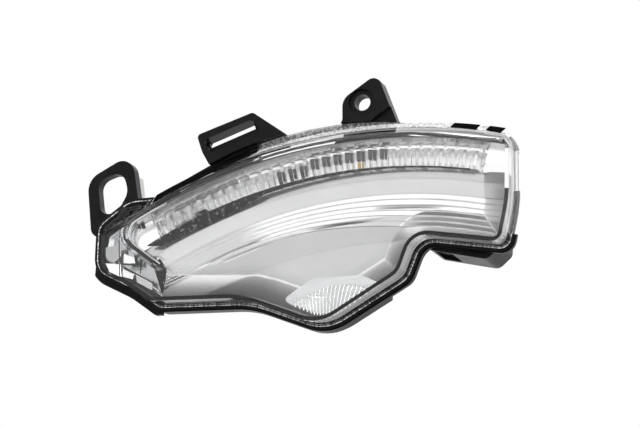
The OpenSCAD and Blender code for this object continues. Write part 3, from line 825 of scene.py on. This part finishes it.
band_rows = np.concatenate([FINE_ROWS, RIB_ROWS])[:, None]
band_flat = sheet_points(band_rows)[1]
channel_angle, channel_flat = sheet_points(CHANNEL_R)
first_turn, last_turn = bar_angle(BAR_RIGHT - BAR_PLAY), bar_angle(BAR_LEFT + BAR_PLAY)
behind_bar = (channel_angle < last_turn) & (channel_angle > first_turn)
slope_depth = SLOPE_Y + SLOPE * (channel_flat[..., 1] - SLOPE_Z)
sloping_seat = np.where(CHANNEL_R < SEAT_R, slope_depth, END_DEPTH)
beside_bar = np.where(channel_flat[..., 0] < OUTBOARD_X, sloping_seat, END_DEPTH)
channel = lift(channel_flat, np.where(behind_bar, BAR_DEPTH, beside_bar))
upper = np.concatenate([channel, lift(band_flat, face_depth(band_flat))])
upper_back = upper + np.array([0.0, WALL, 0.0])
upper_back[len(CHANNEL_R):len(CHANNEL_R) + 2, :, 2] += WALL_RISE
reflector_upper = add_piece("reflector_upper", plate(upper, upper_back), satin_reflector,
                            "reflector", sharp=28)
# Painted shade in the creases, written on the sheet's points.
apply_painted_shade(reflector_upper)

# %% [markdown]
# ## Floor and cove
#
# The floor fans out from the arc's centre to the outline, so its rows can't all be arcs. Each ray
# is followed down to where it meets the edge: first in steps of radius, then in equal parts of the
# rest, which puts many points into the cove. Two more rows make the narrow rim outside it.

# %% Floor, cove and rim
CORNER_DEG = 121.0
MARGIN, MARGIN_FROM = 4.0, 8.0
DENSE_END, FAN_END = 178.0, 136.0
FLOOR_WALL = 1.0
RIM_IN, RIM_OUT, RIM_BACK = 3.85, 3.2, 3.95
RIM_Y, RIM_BACK_Y = -3.9, -3.15
corner_angle = np.radians(CORNER_DEG)
fan = corner_angle + (side_angles(np.array(SPLIT_R))[1] - corner_angle) * across
hit = np.minimum(first_hit(ARC, fan, edge_path), SPLIT_R - 0.02)
dense, wide = np.linspace(SPLIT_R, DENSE_END, 42), np.linspace(DENSE_END - 0.8, FAN_END, 58)
steps = np.concatenate([dense, wide])[:, None]
inner_rows = np.maximum(steps, hit + MARGIN * np.clip((SPLIT_R - hit) / MARGIN_FROM, 0, 1))
last_rows = inner_rows[-1] + (hit - inner_rows[-1]) * np.linspace(0, 1, 22)[1:, None]
floor_flat = polar(np.concatenate([inner_rows, last_rows]), fan)
floor_front = lift(floor_flat, face_depth(floor_flat))


def rim_row(inset, y):
    """Row of points where the rays meet the outline drawn in by a distance, at a depth."""
    return lift(polar(np.minimum(first_hit(ARC, fan, inset_path(inset)), hit), fan), y)[None]


floor_back = floor_front + np.array([0.0, FLOOR_WALL, 0.0])
front = np.concatenate([floor_front, rim_row(RIM_IN, RIM_Y), rim_row(RIM_OUT, RIM_Y)])
back = np.concatenate([floor_back, rim_row(RIM_BACK, RIM_BACK_Y), rim_row(RIM_OUT, RIM_BACK_Y)])
# The floor gets painted shade towards its cove's edge and in the creases.
apply_painted_shade(add_piece("reflector_floor", plate(front, back), satin_reflector, sharp=28))

# %% [markdown]
# ## Inboard wall
#
# At the inboard end the reflector shows its thin wall from the side: a flat section carried along
# the outline between two heights.

# %% Inboard wall
WALL_IN, WALL_LOW, WALL_HIGH = 3.7, -58, -19
right_wall = inset_path(WALL_IN)
chosen = (right_wall[:, 0] > 50) & (right_wall[:, 1] > WALL_LOW) & (right_wall[:, 1] < WALL_HIGH)
right_wall = even(stretch(right_wall, chosen), 80, False)
add_piece("reflector_side", bar(right_wall, oval(0.35, 1.2, at=(0, -3.2), power=6), False),
          satin_reflector)

# %% [markdown]
# ## The light bar
#
# A bar of clear acrylic is cut across into 29 blocks. Each block's face bulges a little and leans
# back in its upper half, a V groove parts it from the next, and notches in its back throw the light
# forwards. One formula over the whole bar gives all blocks at once. Towards the outboard end the
# grooves get shallower, where the photograph shows softer blocks.

# %% Light bar
PITCH = (BAR_LEFT - BAR_RIGHT) / BLOCKS
GROOVE_H, BULGE_H, LEAN_H, BEVEL_H, NOTCH_H = 1.9, 0.4, 1.1, 0.9, 0.4
SOFT_FROM, SOFT_TO, SOFTER = 46, 62, 0.45
GROOVE_FROM, BEVEL_LOW, BEVEL_HIGH = 0.62, 0.12, 0.92
BACK_GAP, END_PLAY, HEIGHT_PLAY = 0.4, 0.05, 0.02
TAB_S, TAB_HALF, TAB_H = 79.0, 2.35, 1.75
s = np.linspace(BAR_RIGHT + END_PLAY, BAR_LEFT - END_PLAY, BLOCKS * 12 + 1)[:, None]
t = np.array([0, 0.05, 0.12, 0.22, 0.36, 0.48, 0.52, 0.64, 0.76, 0.86, 0.92, 0.96, 1.0])[None]


def block_face(s, t):
    """Depth of the face: a groove at block edges, a bulge q^2, a lean and bevels over the height."""
    q = np.abs(2 * ((s - BAR_RIGHT) / PITCH % 1) - 1)
    soft = 1 - SOFTER * smooth(s, SOFT_FROM, SOFT_TO)
    groove = GROOVE_H * np.clip((q - GROOVE_FROM) / (1 - GROOVE_FROM), 0, 1) * soft + BULGE_H * q ** 2
    lean = LEAN_H * np.clip(t * 2 - 1, 0, 1)
    low, high = 1 - t / BEVEL_LOW, (t - BEVEL_HIGH) / (1 - BEVEL_HIGH)
    bevel = BEVEL_H * np.clip(low, 0, 1) + BEVEL_H * np.clip(high, 0, 1)
    return BAR_FRONT + groove + lean + bevel


def block_back(s, t):
    """Depth of the back: two notches in each block, fading out at top and bottom."""
    wave = np.abs(np.sin(2 * np.pi * (s - BAR_RIGHT) / PITCH))
    return BAR_SEAT - BACK_GAP - NOTCH_H * wave * smooth(t, 0.05, 0.2) * smooth(1 - t, 0.05, 0.2)


foot = BAR_IN + HEIGHT_PLAY + TAB_H * (np.abs(s - TAB_S) < TAB_HALF)
bar_flat = polar(foot + (BAR_OUT - HEIGHT_PLAY - foot) * t, bar_angle(s))
light_bar = plate(lift(bar_flat, block_face(s, t)), lift(bar_flat, block_back(s, t)))
add_piece("light_bar", light_bar, prism_clear, "light_guide", sharp=18)

# %% [markdown]
# ## Black strip under the bar
#
# A thin black carrier runs under the bar and gets higher towards the outboard end, where a small
# tab of it stands up into the bar. Its height is given at eight lengths along the arc and joined
# by straight lines, which a curve with handles would round off.

# %% Black strip under the bar
STRIP_S = [-36.0, -3.2, 29.4, 51.4, 65.0, 81.2, 100.3, 105.3]
STRIP_H = [0.45, 0.55, 1.0, 1.5, 4.3, 4.6, 3.0, 0.2]
STRIP_Y = (BAR_FRONT + 0.1, BAR_FRONT + 1.3)
TAB_Y = (BAR_FRONT - 0.1, BAR_FRONT + 3.2)
TAB_R = (BAR_IN + 1.6, BAR_IN - 0.4)
TAB_PLAY = 0.05
strip_s = np.linspace(STRIP_S[0], STRIP_S[-1], 220)
strip_low = BAR_IN - 0.1 - np.interp(strip_s, STRIP_S, STRIP_H)
strip_flat = polar(np.linspace(BAR_IN - 0.05, strip_low, 4), bar_angle(strip_s))
strip = plate(lift(strip_flat, STRIP_Y[0]), lift(strip_flat, STRIP_Y[1]))
tab_half = TAB_HALF - TAB_PLAY
tab_s = np.linspace(TAB_S - tab_half, TAB_S + tab_half, 9)
tab_flat = polar(np.linspace(*TAB_R, 3)[:, None], bar_angle(tab_s))
tab = plate(lift(tab_flat, TAB_Y[0]), lift(tab_flat, TAB_Y[1]))
add_piece("carrier_strip", joined([strip, tab]), painted_glint_black, "guide_carrier")

# %% [markdown]
# ## Behind the prisms
#
# Dark shades between the light sources show through the blocks near the middle, and one source shows
# its amber. Grey gates stand under the blocks further inboard. Painting them on the bar would look
# flat; small pads behind it are bent by the prisms as the real ones are.

# %% Shades, gates and the amber window
FIRST_SHADE, LAST_SHADE, AMBER_BLOCK = 8, 17, 10
SHADE_HALF, LOWER_FROM = 1.5, 30
SHADE_R, LOWER_SHADE_R = (206.2, 209.8), (204.4, 208.0)
AMBER_HALF, AMBER_R = 1.3, (203.2, 205.6)
GATE_R, GATE_Y = (201.12, 201.36), (-8.2, -3.4)
SHADE_Y, AMBER_Y = (BAR_SEAT - 0.35, BAR_SEAT + 1.0), (BAR_SEAT - 0.35, BAR_SEAT + 0.5)
GATES = [(-7.9, -4.1), (-17.0, -14.5), (-29.3, -23.5), (-39.0, -31.3),
         (2.0, 4.6), (11.0, 14.0), (20.0, 24.5)]


def arc_pad(lengths, radii, depths):
    """Small pad that follows the arc between two lengths, two radii and two depths."""
    flat = polar(np.linspace(*radii, 3)[:, None], bar_angle(np.linspace(*lengths, 5)))
    return plate(lift(flat, depths[0]), lift(flat, depths[1]))


centres = BAR_RIGHT + (np.arange(FIRST_SHADE, LAST_SHADE + 1) + 0.5) * PITCH
amber_s = BAR_RIGHT + (AMBER_BLOCK + 0.5) * PITCH
shades = [arc_pad((c - SHADE_HALF, c + SHADE_HALF), SHADE_R if c < LOWER_FROM else LOWER_SHADE_R, SHADE_Y)
          for c in centres]
amber = arc_pad((amber_s - AMBER_HALF, amber_s + AMBER_HALF), AMBER_R, AMBER_Y)
add_piece("led_shades", joined(shades), black_trim)
add_piece("amber_window", amber, led_amber)
add_piece("bar_gates", joined([arc_pad(gate, GATE_R, GATE_Y) for gate in GATES]), gate_grey)

# %% [markdown]
# ## The puddle lens
#
# The lens in the belly is a clear plug with a sloping face. Its flutes fan out from a point below the
# lamp, and its upper edge is left smooth. Rays from its middle to the outline give a grid that
# closes at the middle, in front and at the back.

# %% Puddle lens
PUDDLE_MID = np.array([-11.0, -78.0])
PUDDLE = np.array([[-22, -0.2, 1.5], [-10, 7.6, 7], [11, 8, 12], [22.2, 2.4, 2], [-2.8, -13.5, 12]])
PUDDLE_BACK, PUDDLE_IN = FLOOR_Y - 0.25, 4.5
FACE_Y, FACE_SLOPE = -2.3, 0.06
SMOOTH_Z, SMOOTH_X, SMOOTH_BEND = -73.3, -8, 0.018
FLUTE_POWER, FLUTE_FADE = 0.9, 0.9
EDGE_DROP, EDGE_WALL = 0.5, 0.6
FAN = np.array([-15.3, -114.0])
FLUTE = math.radians(2.42)
FLUTE_H = 0.8
round_angle = np.linspace(-np.pi, np.pi, 900, endpoint=False)
puddle_path = fillet_path(PUDDLE + np.append(PUDDLE_MID, 0.0))
puddle_edge = np.minimum(first_hit(PUDDLE_MID, round_angle, puddle_path),
                         first_hit(PUDDLE_MID, round_angle, inset_path(PUDDLE_IN)))


def puddle_face(flat):
    """Sloping plane, with flutes 1 - |sin|^0.9 set back into it below a smooth upper edge."""
    plane = FACE_Y + FACE_SLOPE * (flat[..., 1] - PUDDLE_MID[1])
    away = flat - FAN
    turn = np.arctan2(away[..., 0], away[..., 1]) / FLUTE
    upper = SMOOTH_Z - SMOOTH_BEND * (flat[..., 0] - SMOOTH_X) ** 2
    flutes = FLUTE_H * (1 - np.abs(np.sin(np.pi * turn)) ** FLUTE_POWER)
    return plane + flutes * smooth(upper - flat[..., 1], 0, FLUTE_FADE)


def from_middle(part):
    """Points at shares of the way from the lens's middle to its edge."""
    return PUDDLE_MID + part[:, None, None] * puddle_edge[:, None] * direction(round_angle)


inner = from_middle(np.linspace(0, 0.985, 56))
edge = from_middle(np.array([1.0, 1.0]))
edge_face = np.minimum(puddle_face(edge[0]) + EDGE_DROP, FLOOR_Y - EDGE_WALL)
side = lift(edge, np.stack([edge_face, np.full_like(edge_face, PUDDLE_BACK)]))
back = lift(from_middle(np.array([0.5, 0.0])), PUDDLE_BACK)
fluted_lens = domed(np.concatenate([lift(inner, puddle_face(inner)), side, back]))
add_piece("fluted_lens", fluted_lens, fluted_clear, "puddle_lens", sharp=30)

# %% [markdown]
# ## Clips of the puddle lens
#
# Four low pebbles of clear plastic stand along the lens's upper edge. An oval dome from a circular grid is
# enough for them, as only their soft highlights are seen.

# %% Clips of the puddle lens
CLIPS = [(-25.5, -75.0, 3.0, 1.5, 1.6, 2.6), (-19.5, -72.2, 2.4, 1.2, 1.7, 2.0),
         (-7.5, -70.8, 2.4, 0.9, 1.75, 1.8), (6.5, -73.6, 2.6, 1.5, 1.6, 2.4)]


def blob(x, z, half_x, half_z, y, height):
    """Low pebble: y = base - height sqrt(1 - r^2) on an oval."""
    r = np.linspace(0, 1, 8)[:, None]
    ray = direction(np.linspace(0, 2 * np.pi, 28, endpoint=False))
    flat = np.array([x, z]) + np.array([half_x, half_z]) * r[..., None] * ray
    top = lift(flat, y - height * np.sqrt(1 - r ** 2))
    return domed(np.concatenate([top, lift(flat[:1], y)]))


add_piece("puddle_clips", joined([blob(*clip) for clip in CLIPS]), fluted_clear)

# %% [markdown]
# ## The outboard end
#
# Past the channel the photograph shows a clear stepped block with a half-round light pipe, in a
# satin tray. The outline gives the outer side of both, three corners beside the channel give the
# rest, and rings at a few depths make the solid.


# %% Tray and clear block
TRAY_CORNERS = [[-93.9, -38.0], [-93.9, -53.8], [-82.3, -63.0]]
BLOCK_CORNERS = [[-94.3, -38.8], [-94.3, -54.0], [-82.6, -63.3]]
TRAY_LEVELS = [(0, 2.0), (0, 3.4)]
BLOCK_LEVELS = [(0, 1.8), (0, -3.0), (0.4, -3.4)]
TRAY_IN, BLOCK_IN = 4.4, 5.6


def end_path(inset, x_upper, x_lower, corners):
    """Path of the end: the flange's outline drawn in, past the channel, closed by corners."""
    shore = inset_path(inset)
    beyond = (shore[:, 0] < x_upper) | ((shore[:, 0] < x_lower) & (shore[:, 1] < -60))
    return even(np.vstack([stretch(shore, beyond), corners]), 260)


tray_path = end_path(TRAY_IN, -94.0, -82.3, TRAY_CORNERS)
optic_path = end_path(BLOCK_IN, -94.4, -82.7, BLOCK_CORNERS)
add_piece("reflector_tray", block(tray_path, TRAY_LEVELS), satin_reflector)
add_piece("optic_block", block(optic_path, BLOCK_LEVELS), clear_guide, "side_optic",
          sharp=25)

# %% [markdown]
# ## Facets in the end
#
# Inside the block small facets and a round cup shine bright or grey, with dark gaps between them.
# Each is a thin plate tilted so that it mirrors another part of the room, which gives it one tone
# of its own without a finish of its own.

# %% Facets and their gaps
CUP_MID, CUP_R = np.array([-103.9, -56.6]), 3.0
GAP_Y, GAP_THICK = -4.9, 0.3


def facet(corners, y, tilt_x, tilt_z, thick=0.5):
    """Thin plate on corners (x, z) whose front is the plane y + tilt_x (x - mean) + tilt_z (z - mean)."""
    flat = np.array(corners, float)
    front = y + (flat - flat.mean(0)) @ np.array([tilt_x, tilt_z])
    n = len(flat)
    first = np.arange(n)
    ahead = np.roll(first, -1)
    ring = np.stack([first, ahead, ahead + n, first + n], 1).tolist()
    points = np.vstack([lift(flat, front), lift(flat, front + thick)])
    return points, ring + [list(range(n)), list(range(2 * n - 1, n - 1, -1))]


cup_arc = CUP_MID + CUP_R * direction(np.linspace(np.pi, 2 * np.pi, 14))
cup = np.vstack([[[-106.9, -53.6]], cup_arc, [[-100.9, -52.4]]])
facets = joined([
    facet(cup, -4.6, 0.02, -0.03),
    facet([(-99.8, -56.4), (-95.2, -58.4), (-94.4, -60.8), (-99.6, -60.4)], -4.4, 0.0, 0.2),
    facet([(-106.6, -60.2), (-101.4, -60.6), (-100.9, -65.6), (-104.6, -64.6)], -4.2, 0.35, 0.0),
    facet([(-100.2, -62.0), (-95.0, -64.4), (-95.4, -67.4), (-100.0, -65.8)], -4.4, 0.0, 0.25),
    facet([(-94.2, -64.2), (-87.6, -68.0), (-87.4, -72.0), (-93.8, -68.6)], -4.2, 0.1, -0.1)])
add_piece("optic_facets", facets, satin_reflector, sharp=20)
# The black plates are painted shadow in the dark gaps between the facets.
shadows = joined([
    facet([(-100.4, -61.3), (-86.2, -69.2), (-86.0, -69.9), (-100.4, -61.9)], GAP_Y, 0, 0, GAP_THICK),
    facet([(-100.0, -60.7), (-94.6, -61.2), (-94.6, -61.7), (-100.0, -61.2)], GAP_Y, 0, 0, GAP_THICK),
    facet([(-95.0, -57.0), (-93.6, -58.0), (-93.4, -61.6), (-94.6, -60.4)], GAP_Y, 0, 0, GAP_THICK),
    facet([(-98.6, -51.6), (-97.2, -51.0), (-85.6, -60.0), (-86.6, -61.6)], -7.2, 0, 0, 3.0)])
add_piece("optic_shadows", shadows, black_trim, sharp=20)

# %% [markdown]
# ## Frame round the channel's end
#
# A clear wall with round corners closes the channel, and a thin satin lip runs inside it. Cutting
# the corners of a rough path again and again rounds it without any fillet radius to choose.

# %% Frame round the channel's end
FRAME = [(-78.0, -35.2), (-92.0, -41.0), (-98.4, -44.0), (-99.4, -52.5), (-90.0, -59.5), (-83.4, -64.4)]
LIP = [(-80.0, -37.6), (-91.0, -43.0), (-95.6, -45.8), (-96.2, -51.8), (-89.0, -57.4), (-82.6, -62.2)]


def soft_path(corners, rounds=4):
    """Open path with its corners cut again and again, each time at a quarter and three quarters."""
    path = np.array(corners, float)
    for _ in range(rounds):
        cut = np.stack([0.75 * path[:-1] + 0.25 * path[1:], 0.25 * path[:-1] + 0.75 * path[1:]], 1)
        path = np.vstack([path[:1], cut.reshape(-1, 2), path[-1:]])
    return even(path, 90, False)


add_piece("end_frame", bar(soft_path(FRAME), oval(1.0, 5.0, at=(0, -4.4), power=4), False),
          clear_guide)
add_piece("end_lip", bar(soft_path(LIP), oval(0.35, 0.5, at=(0, -8.6)), False),
          satin_reflector)

# %% [markdown]
# ## Crest of the reflector
#
# Over the channel the reflector ends in a narrow pale crest right under the lens. It is a thin
# section carried along the arc, tilted a little so that it catches the light from above.

# %% Crest of the reflector over the channel
CREST_R, CREST_RIGHT, CREST_LEFT, CREST_TILT = 216.6, 76.8, 113.5, 0.14
crest_turn = np.linspace(math.radians(CREST_RIGHT), math.radians(CREST_LEFT), 200)
crest_path = polar(CREST_R, crest_turn)[::-1]
crest_section = oval(1.7, 0.25, at=(0, -3.3), power=4)
crest_section[:, 1] -= CREST_TILT * crest_section[:, 0]
add_piece("reflector_crest", bar(crest_path, crest_section, False), satin_reflector)

# %% [markdown]
# ## Weld of the lens
#
# The lens is welded to the housing. Molten plastic leaves a speckled seam at the flange: pale where
# the flange stands free along the top, dark where the black rim is behind it. A flat section along
# the flange's outline carries the speckled finish.


# %% Weld seam
def flange_path(inset):
    """Outline of the lens flange drawn in by a distance, as evenly spaced points."""
    return even(fillet_path(grow(OUTLINE, -inset)), 1200)


SEAM_IN = 1.35
seam_path = flange_path(SEAM_IN)
free = (seam_path[:, 0] > -43) & (seam_path[:, 1] > -24)
under = (seam_path[:, 0] > -90) & (seam_path[:, 1] > -40)
SEAM = oval(1.15, 0.13, at=(0, -0.22), power=6, count=12)
add_piece("weld_seam_top", bar(stretch(seam_path, free), SEAM, False), pale_seam)
add_piece("weld_seam_rim", bar(stretch(seam_path, ~under), SEAM, False), dark_seam)

# %% [markdown]
# ## Films on the crown
#
# A black trim covers the top left of the lens, two pads lie where the rim's hooks grip it, and the
# weld shows as a speckled film between them. All lie on the lens's sloping top, so one function
# makes a thin film on that cone. A flat strip would sink into the slope and vanish.

# %% Films on the crown
CROWN_R, CROWN_SLOPE, CROWN_MID_R = 221.16, 0.52, 217.0
FLANGE_Y = -1.9
TRIM_X = [-85.5, -79.0, -58.6, -49.0, -43.2]
TRIM_Y = [-13.9, -13.9, -11.4, -8.5, -3.5]
TRIM_FILM = (0.05, 0.4)
SEAM_FILM = (0.03, 0.15)


def crown_film(xs, limits, gap, thick):
    """Film on the lens's sloping top, r = 221.16 + 0.52 y, from the flange to a depth given along x."""
    x = np.linspace(xs[0], xs[-1], 160)
    angle = np.arccos((x - ARC[0]) / CROWN_MID_R)
    y = FLANGE_Y + (np.interp(x, xs, limits) - FLANGE_Y) * np.linspace(0, 1, 12)[:, None]
    radius = CROWN_R + CROWN_SLOPE * y
    return plate(lift(polar(radius + gap, angle), y), lift(polar(radius + (gap + thick), angle), y))


pads = [crown_film(xs, [-7.0, -8.0], *TRIM_FILM) for xs in ([37.4, 47.6], [51.5, 57.6])]
seams = [crown_film([-42.5, 36.8], [-6.5, -8.0], *SEAM_FILM),
         crown_film([48.2, 51.0], [-5.0, -5.0], *SEAM_FILM)]
add_piece("top_trim", crown_film(TRIM_X, TRIM_Y, *TRIM_FILM), dull_black)
add_piece("hook_pads", joined(pads), dull_black)
add_piece("seam_film", joined(seams), pale_seam)

# %% [markdown]
# ## Band and bead of the flange
#
# On the sides and the belly the black rim shows through the flange as a dark band, with a broken
# line of pale specks on it. A fine clear bead on the flange's edge catches the light as a thin
# line. All three are small sections carried along the outline.

# %% Band and bead of the flange
BAND_IN, BEAD_IN = 0.8, 0.4
band_path = flange_path(BAND_IN)
top_left = (band_path[:, 0] > -88) & (band_path[:, 1] > -38)
inboard = (band_path[:, 0] > 60) & (band_path[:, 1] > -57)
dark_side = stretch(band_path, ~top_left & ~inboard)
bead_path = flange_path(BEAD_IN)
lapped = (bead_path[:, 0] > -88) & (bead_path[:, 0] < -42) & (bead_path[:, 1] > -40)
add_piece("rim_band", bar(dark_side, oval(1.35, 0.12, at=(0, -1.98), power=6, count=12), False),
          black_shell)
add_piece("rim_speckle", bar(dark_side, oval(0.2, 0.15, at=(0.1, -2.1), count=10), False),
          pale_seam)
add_piece("flange_bead", bar(stretch(bead_path, ~lapped), oval(0.3, 0.25, at=(0, -1.85)), False),
          clear_lens)

# %% [markdown]
# ## Surroundings
#
# The lamp was photographed on white. The surroundings are white to the camera and to rays that run
# on backwards through the clear pieces. What the satin metal mirrors is brightest 22 to 35 degrees
# above the horizon, and darker from the sides, from below and from straight above, as in a room with
# one wide soft box.

# %% World
# Each pair is half the height of the direction plus one half, and the brightness mirrored there.
MIRRORED = [(0.05, 0.4), (0.22, 0.75), (0.64, 0.84), (0.69, 1.7),
            (0.79, 1.7), (0.86, 0.8), (0.93, 0.4), (1.0, 0.12)]
SIDE_FROM, SIDE_TO, SIDE_LEFT = 0.62, 0.9, 0.25
BEHIND_Y = 0.88
WHITE = (1.0, 1.0, 1.0, 1.0)


def add_world():
    """Mirrored brightness by height times a dimming by |x|, and white for straight rays."""
    world = bpy.data.worlds.new("studio")
    bpy.context.scene.world = world
    world.use_nodes = True
    sky = Tree(world.node_tree)
    sky.tree.nodes.clear()
    way = sky.node("ShaderNodeTexCoord", output="Generated")
    x, y, z = [sky.node("ShaderNodeSeparateXYZ", None, {0: way}, output=axis) for axis in "XYZ"]
    height = sky.ramp(0.5 * z + 0.5, MIRRORED)
    dim = sky.node("ShaderNodeMapRange", None, {
        "Value": sky.maths("ABSOLUTE", x), "From Min": SIDE_FROM, "From Max": SIDE_TO,
        "To Min": 1.0, "To Max": SIDE_LEFT})
    mirrored = sky.node("ShaderNodeVectorMath", {"operation": "MULTIPLY"}, {0: height, 1: dim})
    camera_ray = sky.node("ShaderNodeLightPath", output="Is Camera Ray")
    straight = sky.maths("MAXIMUM", camera_ray, sky.maths("GREATER_THAN", y, BEHIND_Y))
    glow = sky.node("ShaderNodeBackground", None, {"Color": sky.blend(straight, mirrored, WHITE)})
    sky.node("ShaderNodeOutputWorld", None, {"Surface": glow})
    print("world nodes:", len(sky.tree.nodes))


add_world()

# %% [markdown]
# ## Lamps and floor
#
# Two soft boxes light the lamp, one from above and one from the front. The one above is hidden from
# mirror and glass rays: seen in the satin cove through the clear lens it would burn out to white.
# The floor lies far below, so that the view from below stays clear.

# %% Lamps and floor
FLOOR_Z, FLOOR_HALF = -0.5, 3.0
MIDDLE = (-0.02, 0.0, -0.04)
OVERHEAD, OVERHEAD_WATTS = (-0.25, -0.45, 0.8), 9.0
FRONT, FRONT_WATTS = (0.5, -1.0, 0.1), 4.0
BOX_SIZE = 0.8


def add_soft_box(name, place, watts):
    """A square area lamp that points at the lamp's middle."""
    data = bpy.data.lights.new(name, "AREA")
    data.shape = "SQUARE"
    data.size = BOX_SIZE
    data.energy = watts
    lamp = bpy.data.objects.new(name, data)
    lamp.location = Vector(place)
    lamp.rotation_euler = (Vector(MIDDLE) - Vector(place)).to_track_quat("-Z", "Y").to_euler()
    bpy.context.scene.collection.objects.link(lamp)
    return lamp


def add_floor():
    """A pale square well below the camera."""
    data = bpy.data.meshes.new("floor")
    corners = [(-FLOOR_HALF, -FLOOR_HALF, FLOOR_Z), (FLOOR_HALF, -FLOOR_HALF, FLOOR_Z),
               (FLOOR_HALF, FLOOR_HALF, FLOOR_Z), (-FLOOR_HALF, FLOOR_HALF, FLOOR_Z)]
    data.from_pydata(corners, [], [(0, 1, 2, 3)])
    floor = bpy.data.objects.new("floor", data)
    bpy.context.scene.collection.objects.link(floor)
    f = Finish("floor_paint", Roughness=0.9)
    f.drive("Base Color", f.ramp(f.noise(3.0), [(0.2, 0.82), (0.8, 0.86)]))
    floor.data.materials.append(f.done())


add_floor()
overhead = add_soft_box("overhead", OVERHEAD, OVERHEAD_WATTS)
overhead.visible_glossy = False
overhead.visible_transmission = False
add_soft_box("front", FRONT, FRONT_WATTS)
bpy.context.scene.view_settings.view_transform = "Standard"
print("lamps:", OVERHEAD_WATTS, "W above and", FRONT_WATTS, "W in front")
